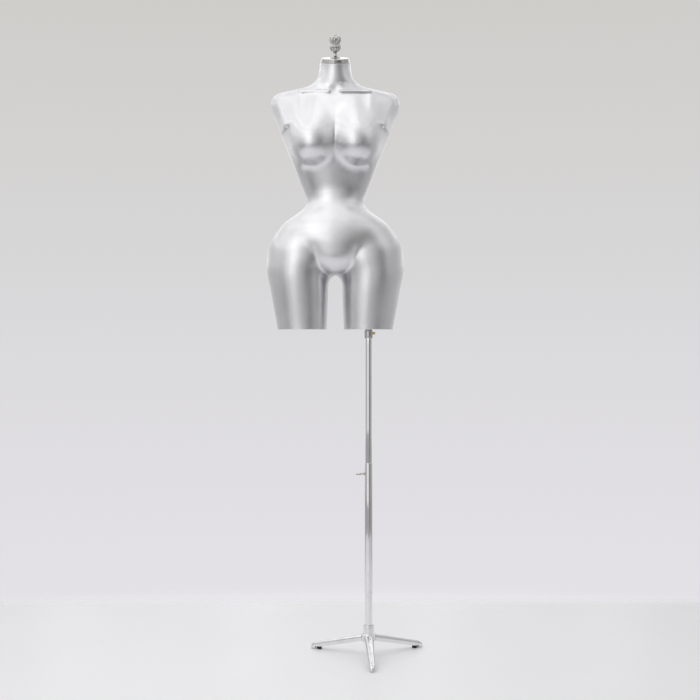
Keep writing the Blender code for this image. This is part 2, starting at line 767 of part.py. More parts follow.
def build_hub(stand):
    hub = turned(
        [
            (BOLT_HOLE, HUB_FOOT),
            (HUB_FLANGE_R - 0.001, HUB_FOOT),
            (HUB_FLANGE_R, HUB_FOOT + 0.001),
            (HUB_FLANGE_R, HUB_FLANGE_TOP),
            (HUB_FLANGE_R - 0.001, HUB_FLANGE_TOP + 0.001),
            (HUB_R, HUB_FLANGE_TOP + 0.002),
            (HUB_R, HUB_TOP - HUB_ROUND),
            (HUB_R - HUB_ROUND, HUB_TOP),
            (HUB_BORE, HUB_TOP),
            (HUB_BORE, LOWER_TUBE_FOOT - GAP),
            (BOLT_HOLE, LOWER_TUBE_FOOT - GAP),
        ],
        sides=24,
    )
    drills = []
    for turn in leg_turns():
        spot = Matrix.Rotation(turn, 4, "Z") @ Matrix.Translation((LEG_SCREW_RADIUS, 0, 0))
        drills.append(moved(rod(0.0024, HUB_FOOT - 0.01, HUB_FOOT + 0.0110, sides=10), spot))
    place("base_hub", cut(hub, drills), chrome, stand)
    washer_foot = HUB_FOOT - 0.0018
    washer = tube(0.0085, BOLT_HOLE, washer_foot, HUB_FOOT - GAP)
    place("hub_washer", washer, bare_steel, stand)
    head_top = washer_foot - GAP
    head = rod(0.0072, head_top - 0.0053, head_top, sides=6)
    shank = rod(0.0040, head_top - 0.002, 0.070, sides=16)
    place("base_bolt", cut(head, [shank], "UNION"), bare_steel, stand)


def leg_turns():
    return [LEG_TURN + 2 * math.pi * i / 3 for i in range(3)]


def leg_half_width(radius):
    """Half the leg's width: wide at the hub, then a straight taper to the toe."""
    return 0.0090 + 0.0042 * (LEG_LENGTH - radius) / LEG_LENGTH + 0.0030 * math.exp(-radius / 0.030)


def leg_top(radius):
    return 0.062 - 0.26 * (radius - 0.020)


def leg_under(radius):
    return 0.0425 - 0.238 * (radius - 0.020)


def leg_section(build, radius, top, under, half):
    """One section of the leg: flat underneath, with bevelled shoulders and a grooved top."""
    groove = 0.0003 + 0.0040 * max(0, 1 - radius / 0.185)
    bevel = 0.30 * half
    outline = [
        (-half, under),
        (half, under),
        (half, top - 1.4 * bevel),
        (half - bevel, top - 0.0004),
        (groove + 0.0009, top),
        (0, top - groove),
        (-groove - 0.0009, top),
        (-half + bevel, top - 0.0004),
        (-half, top - 1.4 * bevel),
    ]
    return [build.verts.new((radius, y, z)) for y, z in outline]


def leg_mesh():
    """A leg hollowed to fit round the hub, with a lug under its root and a toe turned down."""
    build = bmesh.new()
    foot_z = PAD_TOP + GAP
    sections = []
    for radius in (0.012, 0.040, 0.075, 0.120, 0.160):
        sections.append((radius, leg_top(radius), leg_under(radius), leg_half_width(radius)))
    sections += [
        (0.1620, leg_top(0.162), foot_z, 0.0099),
        (0.1765, leg_top(0.1765), foot_z, 0.0097),
        (0.1780, leg_top(0.1780), 0.0020, 0.0096),
        (0.1880, 0.0180, 0.0020, 0.0090),
        (0.1942, 0.0135, 0.0020, 0.0070),
        (LEG_LENGTH, 0.0085, 0.0025, 0.0042),
    ]
    rings = [leg_section(build, *section) for section in sections]
    for low, high in zip(rings, rings[1:]):
        for i in range(len(low)):
            j = (i + 1) % len(low)
            build.faces.new((low[i], high[i], high[j], low[j]))
    for ring in (rings[0], rings[-1]):
        build.faces.new(ring)
    bmesh.ops.triangulate(build, faces=build.faces)
    arm = cut(finished(build), [rod(HUB_FLANGE_R + GAP, 0.02, 0.09, sides=48)])
    lug = box((0.0098, -0.0080, LUG_FOOT), (0.0300, 0.0080, HUB_FOOT - GAP))
    holes = [
        drill(LEG_SCREW_RADIUS, 0, 0.0028, LUG_FOOT, HUB_FOOT, sides=12),
        drill(FOOT_RADIUS, 0, 0.0020, 0.01, 0.005, sides=10),
    ]
    return cut(cut(arm, [lug], "UNION"), holes)


def build_legs(stand):
    leg = leg_mesh()
    pad = turned(
        [
            (0.0020, 0.0028),
            (0.0042, 0.0028),
            (0.0042, 0),
            (PAD_R - 0.0008, 0),
            (PAD_R, 0.0008),
            (PAD_R - 0.0006, PAD_TOP),
            (0.0020, PAD_TOP),
        ],
        sides=20,
    )
    pad_screw = turned(
        [
            (0, 0.0008),
            (0.0036, 0.0008),
            (0.0036, 0.0025),
            (0.0016, 0.0025),
            (0.0016, 0.0140),
            (0, 0.0140),
        ],
        sides=10,
    )
    leg_screw = turned(
        [
            (0, LUG_FOOT - 0.0032),
            (0.0040, LUG_FOOT - 0.0032),
            (0.0046, LUG_FOOT - 0.0024),
            (0.0046, LUG_FOOT - GAP),
            (0.0021, LUG_FOOT - GAP),
            (0.0021, HUB_FOOT + 0.0100),
            (0, HUB_FOOT + 0.0100),
        ],
        sides=14,
    )
    for i, turn in enumerate(leg_turns(), 1):
        axis = empty(f"leg_axis_{i}", (0, 0, 0), stand, Matrix.Rotation(turn, 3, "Z"))
        place(f"leg_{i}", leg, chrome, axis, smooth=35)
        place(f"leg_screw_{i}", leg_screw, bare_steel, axis, (LEG_SCREW_RADIUS, 0, 0))
        place(f"foot_pad_{i}", pad, black_rubber, axis, (FOOT_RADIUS, 0, 0))
        place(f"foot_pad_screw_{i}", pad_screw, bare_steel, axis, (FOOT_RADIUS, 0, 0))


def main():
    clear_scene()
    stand = empty("stand_axis", (STAND_X, STAND_Y, 0))
    build_hub(stand)
    build_legs(stand)
    build_lower_tube(stand)
    build_height_lock(stand)
    pole = empty("pole_axis", (0, 0, 0), stand)
    build_upper_pole(pole)
    socket = empty("socket_axis", (0, 0, 0), pole)
    build_socket(socket)
    build_socket_lock(socket)
    torso = empty("torso_frame", (-TORSO_OFFSET, 0, 0), socket)
    build_thigh_ends(torso, socket)
    build_shell(torso)
    build_finial(build_neck(torso))


main()
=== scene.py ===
"""Looks for the silver torso form on its telescoping chrome stand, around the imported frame.

Metres, +Z up. The form faces -Y. Its shape is a signed distance, as in the CAD source, so the fine
skin here lies on the same surface as the CAD shell.
"""

import json
import math

import bmesh
import bpy
import numpy as np
from mathutils import Matrix, Vector


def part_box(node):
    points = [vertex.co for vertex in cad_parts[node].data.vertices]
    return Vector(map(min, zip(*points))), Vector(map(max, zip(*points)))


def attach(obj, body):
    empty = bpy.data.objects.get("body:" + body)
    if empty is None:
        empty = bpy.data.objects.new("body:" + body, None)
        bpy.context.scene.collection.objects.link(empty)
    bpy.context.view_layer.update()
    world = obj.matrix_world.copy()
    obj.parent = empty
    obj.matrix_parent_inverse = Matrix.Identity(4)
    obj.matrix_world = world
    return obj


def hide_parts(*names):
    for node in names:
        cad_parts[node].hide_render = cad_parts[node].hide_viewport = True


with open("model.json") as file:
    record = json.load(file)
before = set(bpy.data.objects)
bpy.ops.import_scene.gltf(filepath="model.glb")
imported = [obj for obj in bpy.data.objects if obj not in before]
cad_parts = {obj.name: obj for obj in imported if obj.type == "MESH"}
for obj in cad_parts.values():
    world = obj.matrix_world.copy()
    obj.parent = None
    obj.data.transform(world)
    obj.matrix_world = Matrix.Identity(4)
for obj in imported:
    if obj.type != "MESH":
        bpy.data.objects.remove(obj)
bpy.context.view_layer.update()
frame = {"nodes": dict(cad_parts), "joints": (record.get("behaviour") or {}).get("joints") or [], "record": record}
JOINTS = {joint["name"]: joint for joint in frame["joints"]}


def centre_of(node):
    low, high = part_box(node)
    return (low + high) / 2


def radius_of(node):
    low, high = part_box(node)
    return (high.x - low.x) / 2


# Where the frame's parts are. A turned piece's axis is the middle of its box.
POLE = Vector((*centre_of("upper_pole").xy, 0))
NECK_POINT = Vector(JOINTS["finial_turn"]["pos_m"])
NECK_AXIS = Vector(JOINTS["finial_turn"]["axis"])
TORSO = Vector((NECK_POINT.x, POLE.y, 0))  # the origin of the form's own frame
THIGH_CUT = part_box("torso_shell")[0].z
SHELL_WALL = 0.004
SKIN_GRID = 0.004
RIM_ROUND = 0.0008
THIGH_X = 0.0991  # middle of a thigh's cut end, from the form's middle plane
STUD_HOLE, PLATING_WALL = 0.0034, 0.0016
SHORTEST, FLATTEST = 1e-5, math.radians(160)  # corners under or over these stay sharp

# ---- The torso's shape: a signed distance, negative inside, from lofts and ellipsoids ----


def spline(knots, values):
    """The natural cubic curve through the knots, level beyond its ends."""
    x, y = np.array(knots, float), np.array(values, float)
    gaps = np.diff(x)
    system, right = np.eye(len(x)), np.zeros(len(x))
    for i in range(1, len(x) - 1):
        system[i, i - 1 : i + 2] = gaps[i - 1], 2 * (gaps[i - 1] + gaps[i]), gaps[i]
        right[i] = 6 * ((y[i + 1] - y[i]) / gaps[i] - (y[i] - y[i - 1]) / gaps[i - 1])
    bend = np.linalg.solve(system, right)

    def at(t):
        t = np.clip(t, x[0], x[-1])
        i = np.clip(np.searchsorted(x, t) - 1, 0, len(x) - 2)
        gap, left, past = gaps[i], x[i + 1] - t, t - x[i]
        cubic = (bend[i] * left**3 + bend[i + 1] * past**3) / (6 * gap)
        start, end = y[i] / gap - bend[i] * gap / 6, y[i + 1] / gap - bend[i + 1] * gap / 6
        return cubic + start * left + end * past

    return at


def smooth_min(a, b, reach):
    """The union of two distances, with a fillet where they are within reach of each other."""
    near = np.maximum(reach - np.abs(a - b), 0) / reach
    return np.minimum(a, b) - near**3 * reach / 6


def smooth_max(a, b, reach):
    return -smooth_min(-a, -b, reach)


def smooth_step(t, low, high):
    t = np.clip((t - low) / (high - low), 0, 1)
    return t**3 * (t * (6 * t - 15) + 10)


def loft(stations, power=2.15):
    """A limb whose section is a superellipse. A station is (z, centre x, half width, front, back)."""
    z, centre, half, front, back = np.array(stations).T
    middle_x, half_x = spline(z, centre), spline(z, half)
    middle_y, half_y = spline(z, (front + back) / 2), spline(z, (back - front) / 2)

    def level(x, y, z):
        across = np.abs(x - middle_x(z)) / half_x(z)
        along = np.abs(y - middle_y(z)) / half_y(z)
        return (across**power + along**power) ** (1 / power) - 1

    def distance(x, y, z):
        step = 0.0004
        here = level(x, y, z)
        slope = (level(x + step, y, z) - here) ** 2
        slope = slope + (level(x, y + step, z) - here) ** 2
        slope = slope + (level(x, y, z + step) - here) ** 2
        return here / np.maximum(np.sqrt(slope) / step, 1.5)

    return distance


def ellipsoid(centre, radii, lean=0.0, turn=0.0):
    """An ellipsoid leant about X and then turned about Z, in degrees."""
    rotation = Matrix.Rotation(math.radians(turn), 3, "Z") @ Matrix.Rotation(math.radians(lean), 3, "X")
    inverse = np.array(rotation.transposed())

    def distance(x, y, z):
        offset = x - centre[0], y - centre[1], z - centre[2]
        local = [sum(row[i] * offset[i] for i in range(3)) for row in inverse]
        scaled = np.sqrt(sum((p / r) ** 2 for p, r in zip(local, radii)))
        slope = np.sqrt(sum((p / r**2) ** 2 for p, r in zip(local, radii)))
        return scaled * (scaled - 1) / np.maximum(slope, 1e-6)

    return distance


def capsule(start, end, start_r, end_r, depth=1.0):
    """A round bar from start to end, whose section is depth times as deep in y as it is wide."""
    squash = np.array([1, 1 / depth, 1])
    start, end = np.array(start) * squash, np.array(end) * squash
    run = end - start

    def distance(x, y, z):
        offset = x - start[0], y / depth - start[1], z - start[2]
        t = np.clip(sum(o * r for o, r in zip(offset, run)) / (run @ run), 0, 1)
        apart = np.sqrt(sum((o - t * r) ** 2 for o, r in zip(offset, run)))
        return apart - start_r - (end_r - start_r) * t

    return distance


TRUNK = loft(
    [
        (1.130, 0, 0.040, -0.070, 0.050),
        (1.150, 0, 0.058, -0.086, 0.066),
        (1.180, 0, 0.088, -0.103, 0.092),
        (1.215, 0, 0.121, -0.110, 0.114),
        (1.250, 0, 0.150, -0.112, 0.116),
        (1.290, 0, 0.147, -0.103, 0.098),
        (1.325, 0, 0.1035, -0.086, 0.080),
        (1.345, 0, 0.0872, -0.076, 0.070),
        (1.361, 0, 0.085, -0.071, 0.067),
        (1.385, 0, 0.0925, -0.069, 0.068),
        (1.420, 0, 0.107, -0.075, 0.077),
        (1.466, 0, 0.125, -0.086, 0.092),
        (1.520, 0, 0.1475, -0.092, 0.108),
        (1.555, 0, 0.1612, -0.089, 0.114),
        (1.585, 0, 0.1715, -0.084, 0.117),
        (1.625, 0, 0.189, -0.072, 0.114),
        (1.650, 0, 0.194, -0.0625, 0.106),
        (1.680, 0, 0.191, -0.046, 0.086),
        (1.710, 0, 0.183, -0.026, 0.060),
    ]
)
HIP = loft(
    [
        (0.930, 0.0970, 0.0700, -0.080, 0.078),
        (0.977, 0.0991, 0.0734, -0.082, 0.080),
        (1.040, 0.1035, 0.0805, -0.088, 0.090),
        (1.100, 0.1080, 0.0870, -0.094, 0.104),
        (1.140, 0.1105, 0.0925, -0.097, 0.116),
        (1.160, 0.1080, 0.0974, -0.098, 0.121),
        (1.180, 0.1030, 0.1024, -0.099, 0.124),
        (1.215, 0.0980, 0.1035, -0.098, 0.122),
        (1.250, 0.0880, 0.1000, -0.092, 0.112),
        (1.290, 0.0680, 0.0840, -0.082, 0.096),
        (1.325, 0.0430, 0.0580, -0.068, 0.078),
        (1.350, 0.0330, 0.0380, -0.046, 0.054),
        (1.385, 0.0300, 0.0200, -0.030, 0.036),
    ]
)
BUTTOCK = ellipsoid((0.080, 0.050, 1.192), (0.092, 0.098, 0.084), lean=-8)
SHOULDER_LINE = spline(
    [0, 0.050, 0.073, 0.091, 0.128, 0.155, 0.182, 0.230],
    [1.716, 1.7135, 1.708, 1.7025, 1.6945, 1.6900, 1.6858, 1.6700],
)
NECK = capsule((0, 0.030, 1.640), (0, -0.026, 1.850), 0.050, 0.0435, depth=1.06)
BREAST = ellipsoid((0.065, -0.077, 1.529), (0.057, 0.058, 0.061), turn=12)
BREAST_SLOPE = ellipsoid((0.060, -0.062, 1.560), (0.056, 0.044, 0.074), lean=-16, turn=8)
COLLARBONE = capsule((0.018, -0.0530, 1.6820), (0.104, -0.0395, 1.6835), 0.0034, 0.0036)
THROAT_HOLLOW = ellipsoid((0, -0.0655, 1.690), (0.016, 0.0165, 0.015))
# The planes that bound the short round arm: its front, the slanting face that ends it, the
# underside that runs down to the armpit, its inner edge and its back.
ARM_FACES = [
    ((0.108, -0.0520, 1.6445), (0.27, -0.87, 0.40)),
    ((0.1465, -0.0680, 1.5850), (0.927, -0.3175, -0.200)),
    ((0.147, -0.0680, 1.5900), (-0.8375, -0.036, -0.546)),
    ((0.107, -0.0500, 1.6600), (-0.950, -0.300, 0.080)),
    ((0.150, -0.0160, 1.6500), (0, 1, 0)),
]


def hip_and_thigh(x, y, z):
    thigh = smooth_max(HIP(x, y, z), z - 1.385, 0.03)
    return smooth_min(thigh, BUTTOCK(x, y, z), 0.035)


def arm_end(side, y, z):
    """The short arm, sliced off by a plane that faces outwards, down and forwards."""
    distance = z - 1.76
    for point, normal in ARM_FACES:
        steps = zip((side, y, z), point, normal)
        distance = smooth_max(distance, sum((p - q) * n for p, q, n in steps), 0.018)
    return distance


def chest(x, y, z):
    """Two breasts, and above them one slope that both run up into."""
    slope = smooth_min(BREAST_SLOPE(x, y, z), BREAST_SLOPE(-x, y, z), 0.07)
    return smooth_min(BREAST(np.abs(x), y, z), slope, 0.06)


def form(x, y, z):
    """The signed distance to the whole form, whose two ends run on past the cuts."""
    side = np.abs(x)
    trunk = smooth_max(TRUNK(x, y, z), 1.141 - z, 0.05)
    trunk = smooth_min(trunk, arm_end(side, y, z), 0.016)
    trunk = smooth_max(trunk, 0.97 * (z - SHOULDER_LINE(side)), 0.04)
    legs = smooth_min(hip_and_thigh(x, y, z), hip_and_thigh(-x, y, z), 0.025)
    shape = smooth_min(legs, trunk, 0.012 + 0.020 * smooth_step(z, 1.18, 1.26))
    shape = smooth_min(shape, NECK(x, y, z), 0.065)
    shape = smooth_max(shape, -THROAT_HOLLOW(x, y, z), 0.025)
    shape = smooth_min(shape, COLLARBONE(side, y, z), 0.010)
    fillet = 0.036 + 0.040 * smooth_step(z, 1.475, 1.60) + 0.030 * smooth_step(side, 0.070, 0.115)
    return smooth_min(shape, chest(x, y, z), fillet)


def cell_points(values, step):
    """One point for each grid cell that the surface crosses: the mean of its edge crossings."""
    shape = tuple(n - 1 for n in values.shape)
    total, count = np.zeros(shape + (3,)), np.zeros(shape)
    for axis in range(3):
        for across in range(4):
            start = [0, 0, 0]
            start[(axis + 1) % 3], start[(axis + 2) % 3] = across % 2, across // 2
            end = [s + (i == axis) for i, s in enumerate(start)]
            a = values[tuple(slice(s, s + n) for s, n in zip(start, shape))]
            b = values[tuple(slice(s, s + n) for s, n in zip(end, shape))]
            crossed = (a < 0) != (b < 0)
            point = np.zeros(shape + (3,)) + start
            point[..., axis] = a / np.where(crossed, a - b, 1)
            total += point * crossed[..., None]
            count += crossed
    cells = np.argwhere(count > 0)
    index = np.full(shape, -1)
    index[tuple(cells.T)] = np.arange(len(cells))
    mean = total[tuple(cells.T)] / count[tuple(cells.T)][:, None]
    return (cells + mean) * step, index


def cell_faces(values, index):
    """A quad round each grid edge whose ends lie on two sides of the surface."""
    inside, faces = values < 0, []
    for axis in range(3):
        u, v = (axis + 1) % 3, (axis + 2) % 3
        here = [slice(1, -1)] * 3
        here[axis] = slice(0, -1)
        ahead = list(here)
        ahead[axis] = slice(1, None)
        low, high = inside[tuple(here)], inside[tuple(ahead)]
        edges = np.argwhere(low != high)
        corner = edges + 1
        corner[:, axis] -= 1
        quad = []
        for du, dv in ((1, 1), (0, 1), (0, 0), (1, 0)):
            cell = corner.copy()
            cell[:, u] -= du
            cell[:, v] -= dv
            quad.append(index[tuple(cell.T)])
        quad = np.stack(quad, axis=1)
        leaving = low[tuple(edges.T)]
        faces += [quad[leaving], quad[~leaving, ::-1]]
    return np.concatenate(faces)


def gradient(field, points, step=0.0003):
    columns = []
    for axis in np.eye(3) * step:
        columns.append(field(*(points + axis).T) - field(*(points - axis).T))
    return np.stack(columns, axis=1) / (2 * step)


# ---- A fine skin from the same field ----


def near_values(field, axes, block=4):
    """The field on a grid: exact in the blocks that its surface may cross, and rough elsewhere."""
    counts = [-(-len(axis) // block) for axis in axes]
    padded = [np.concatenate([a, a[-1] + (a[1] - a[0]) * np.arange(1, n * block - len(a) + 1)])
              for a, n in zip(axes, counts)]
    middles = [axis.reshape(-1, block).mean(1) for axis in padded]
    rough = np.broadcast_to(field(*np.meshgrid(*middles, indexing="ij", sparse=True)), counts)
    values = np.empty([n * block for n in counts])
    blocks = values.reshape(counts[0], block, counts[1], block, counts[2], block)
    blocks[:] = rough[:, None, :, None, :, None]
    step = axes[0][1] - axes[0][0]
    i, j, k = np.nonzero(np.abs(rough) < 1.6 * block * step)
    cells = [axis.reshape(-1, block) for axis in padded]
    x = cells[0][i][:, :, None, None]
    y = cells[1][j][:, None, :, None]
    z = cells[2][k][:, None, None, :]
    shape = (len(i), block, block, block)
    x, y, z = (np.broadcast_to(part, shape).ravel() for part in (x, y, z))
    exact = field(x, y, z).reshape(shape)
    blocks[i, :, j, :, k, :] = exact
    return values[: len(axes[0]), : len(axes[1]), : len(axes[2])]


def skin_points(step):
    """Quads on the form's surface. The form is symmetric, so only one side is worked out."""
    half = np.arange(0, 0.225 + step, step)
    y, z = np.arange(-0.185, 0.185, step), np.arange(0.955, 1.81, step)
    one_side = near_values(form, [half, y, z])
    values = np.concatenate([one_side[:0:-1], one_side])
    points, index = cell_points(values, step)
    points += (-half[-1], y[0], z[0])
    for _ in range(2):
        slope = gradient(form, points)
        points -= slope * (form(*points.T) / np.maximum((slope**2).sum(1), 0.05))[:, None]
    return points, cell_faces(values, index)


def cut_skin(build, point, outward):
    """Cuts the skin off just inside this plane, where the rounded rim starts."""
    point = point - RIM_ROUND * outward
    parts = build.verts[:] + build.edges[:] + build.faces[:]
    bmesh.ops.bisect_plane(build, geom=parts, plane_co=point, plane_no=outward, clear_outer=True)
    rim = [vert for vert in build.verts if vert.is_boundary and abs((vert.co - point).dot(outward)) < 1e-5]
    bmesh.ops.remove_doubles(build, verts=rim, dist=0.0009)


def rim_loops(build, point, outward):
    """The open edges that lie in this plane."""
    point = point - RIM_ROUND * outward
    return [e for e in build.edges if e.is_boundary
            and all(abs((v.co - point).dot(outward)) < 1e-5 for v in e.verts)]


def add_lip(build, point, outward, depth):
    """A rounded rim, as thick as the shell's wall, that turns in and runs back up inside."""
    edges = rim_loops(build, point, outward)
    steps = [(0.3 * RIM_ROUND, 0.3 * RIM_ROUND), (RIM_ROUND, 0.0), (SHELL_WALL - RIM_ROUND, 0.0)]
    steps += [(SHELL_WALL, RIM_ROUND), (SHELL_WALL, depth)]
    verts = list({v for e in edges for v in e.verts})
    slope = gradient(form, np.array([v.co for v in verts]))
    flat = slope - np.outer(slope @ np.array(outward), outward)
    flat /= np.linalg.norm(flat, axis=1)[:, None]
    origin = {v: (v.co.copy(), Vector(n)) for v, n in zip(verts, flat)}
    faces = []
    for inset, rise in steps:
        made = bmesh.ops.extrude_edge_only(build, edges=edges)["geom"]
        new_verts = [g for g in made if isinstance(g, bmesh.types.BMVert)]
        faces += [g for g in made if isinstance(g, bmesh.types.BMFace)]
        edges = [g for g in made if isinstance(g, bmesh.types.BMEdge) and g.is_boundary]
        carried = {}
        for v in new_verts:
            near = [e.other_vert(v) for e in v.link_edges if e.other_vert(v) in origin]
            carried[v] = origin[near[0]]
        for v, (co, normal) in carried.items():
            v.co = co - normal * inset + outward * (RIM_ROUND - rise)
        origin = carried
    return faces


def torso_skin():
    points, faces = skin_points(SKIN_GRID)
    skin = bpy.data.meshes.new("torso_form")
    skin.from_pydata(points.tolist(), [], faces.tolist())
    build = bmesh.new()
    build.from_mesh(skin)
    neck_plane = (NECK_POINT - TORSO, NECK_AXIS)
    thigh_plane = (Vector((0, 0, THIGH_CUT)), Vector((0, 0, -1)))
    inner = []
    for point, outward in (neck_plane, thigh_plane):
        cut_skin(build, point, outward)
    for (point, outward), depth in ((neck_plane, 0.010), (thigh_plane, 0.030)):
        inner += add_lip(build, point, outward, depth)
    marked = set(inner)
    flags = [face in marked for face in build.faces]
    build.to_mesh(skin)
    build.free()
    skin.shade_smooth()
    smooth_normals(skin, np.array(flags))
    skin.transform(Matrix.Translation(TORSO))
    return skin


def smooth_normals(skin, lip_faces):
    """The outer skin is shaded with the field's own normals, and the lip with its mesh's."""
    points = np.empty(len(skin.vertices) * 3)
    skin.vertices.foreach_get("co", points)
    slope = gradient(form, points.reshape(-1, 3))
    slope /= np.linalg.norm(slope, axis=1)[:, None]
    corner_verts = np.empty(len(skin.loops), np.int64)
    skin.loops.foreach_get("vertex_index", corner_verts)
    corner_normals = np.empty(len(skin.loops) * 3)
    skin.corner_normals.foreach_get("vector", corner_normals)
    sizes = np.empty(len(skin.polygons), np.int64)
    skin.polygons.foreach_get("loop_total", sizes)
    outer = ~np.repeat(lip_faces, sizes)
    normals = corner_normals.reshape(-1, 3)
    normals[outer] = slope[corner_verts[outer]]
    skin.normals_split_custom_set(normals.tolist())


# ---- Mesh helpers ----


def finished(build, smooth=38):
    bmesh.ops.recalc_face_normals(build, faces=build.faces)
    mesh = bpy.data.meshes.new("piece")
    build.to_mesh(mesh)
    build.free()
    mesh.shade_smooth()
    mesh.set_sharp_from_angle(angle=math.radians(smooth))
    return mesh


def grid_mesh(rings):
    """Rings of points, each closed on itself, joined in order, with a flat cap on each end."""
    build = bmesh.new()
    rows = [[build.verts.new(point) for point in ring] for ring in rings]
    count = len(rows[0])
    for low, high in zip(rows, rows[1:]):
        for i in range(count):
            build.faces.new((low[i], low[(i + 1) % count], high[(i + 1) % count], high[i]))
    for row in (rows[0], rows[-1]):
        build.faces.new(row)
    return build


def rounded_corner(before, here, after, size, steps=3):
    """The points of a curve that rounds off this corner, at most 0.45 of the way along its sides."""
    a, b = before - here, after - here
    reach = min(size, 0.45 * a.length, 0.45 * b.length)
    start, end = here + a.normalized() * reach, here + b.normalized() * reach
    shares = [k / steps for k in range(steps + 1)]
    return [start * (1 - t) ** 2 + here * 2 * t * (1 - t) + end * t**2 for t in shares]


def softened(profile, size):
    """A closed (radius, height) outline with each of its corners rounded off to about this size."""
    outline = []
    count = len(profile)
    for i in range(count):
        before, here, after = (Vector(profile[(i + k) % count]) for k in (-1, 0, 1))
        a, b = before - here, after - here
        if min(size, 0.45 * a.length, 0.45 * b.length) < SHORTEST or a.angle(b) > FLATTEST:
            outline.append(here)
        else:
            outline += rounded_corner(before, here, after, size)
    return outline


def circle(radius, height, sides, matrix):
    """Points round the frame's +Z axis."""
    angles = [2 * math.pi * i / sides for i in range(sides)]
    return [matrix @ Vector((radius * math.cos(a), radius * math.sin(a), height)) for a in angles]


def turned_ring(profile, round_to=0.0004, sides=72, matrix=Matrix.Identity(4), smooth=38):
    """A closed ring turned about Z from its (radius, height) outline, with rounded corners."""
    build = bmesh.new()
    rows = []
    for radius, height in softened(profile, round_to):
        rows.append([build.verts.new(point) for point in circle(radius, height, sides, matrix)])
    for low, high in zip(rows, rows[1:] + rows[:1]):
        for i in range(sides):
            build.faces.new((low[i], low[(i + 1) % sides], high[(i + 1) % sides], high[i]))
    return finished(build, smooth)


def rounded_profile(points, round_to):
    """An open profile from axis to axis, with rounded corners between its two ends."""
    points = [Vector(point) for point in points]
    outline = points[:1]
    for before, here, after in zip(points, points[1:], points[2:]):
        outline += rounded_corner(before, here, after, round_to)
    return outline + points[-1:]


def turned_solid(points, shape=None, round_to=0.0003, sides=72, matrix=Matrix.Identity(4), smooth=38):
    """A solid turned about Z whose profile starts and ends on the axis. shape may move each point."""
    build = bmesh.new()
    outline = rounded_profile(points, round_to) if round_to else [Vector(p) for p in points]
    rows = []
    for radius, height in outline:
        if radius < 1e-6:
            rows.append([build.verts.new(matrix @ Vector((0, 0, height)))])
            continue
        row = []
        for i in range(sides):
            angle = 2 * math.pi * i / sides
            r, z = shape(radius, height, angle) if shape else (radius, height)
            row.append(build.verts.new(matrix @ Vector((r * math.cos(angle), r * math.sin(angle), z))))
        rows.append(row)
    for low, high in zip(rows, rows[1:]):
        for i in range(sides):
            j = (i + 1) % sides
            below, above = (low[i % len(low)], low[j % len(low)]), (high[j % len(high)], high[i % len(high)])
            corners = dict.fromkeys(below + above)
            if len(corners) > 2:
                build.faces.new(corners)
    return finished(build, smooth)


def boolean(mesh, tool, operation):
    body = bpy.data.objects.new("body", mesh)
    helper = bpy.data.objects.new("tool", tool)
    for thing in (body, helper):
        bpy.context.scene.collection.objects.link(thing)
    step = body.modifiers.new("step", "BOOLEAN")
    step.operation, step.object, step.solver = operation, helper, "EXACT"
    bpy.context.view_layer.update()
    made = bpy.data.meshes.new_from_object(body.evaluated_get(bpy.context.evaluated_depsgraph_get()))
    for thing in (body, helper):
        bpy.data.objects.remove(thing)
    made.shade_smooth()
    made.set_sharp_from_angle(angle=math.radians(38))
    return made


def axis_frame(point, axis):
    """A matrix whose +Z runs along the axis and whose origin is the point."""
    turn = Vector(axis).to_track_quat("Z", "Y").to_matrix().to_4x4()
    return Matrix.Translation(point) @ turn

# ---- Materials ----


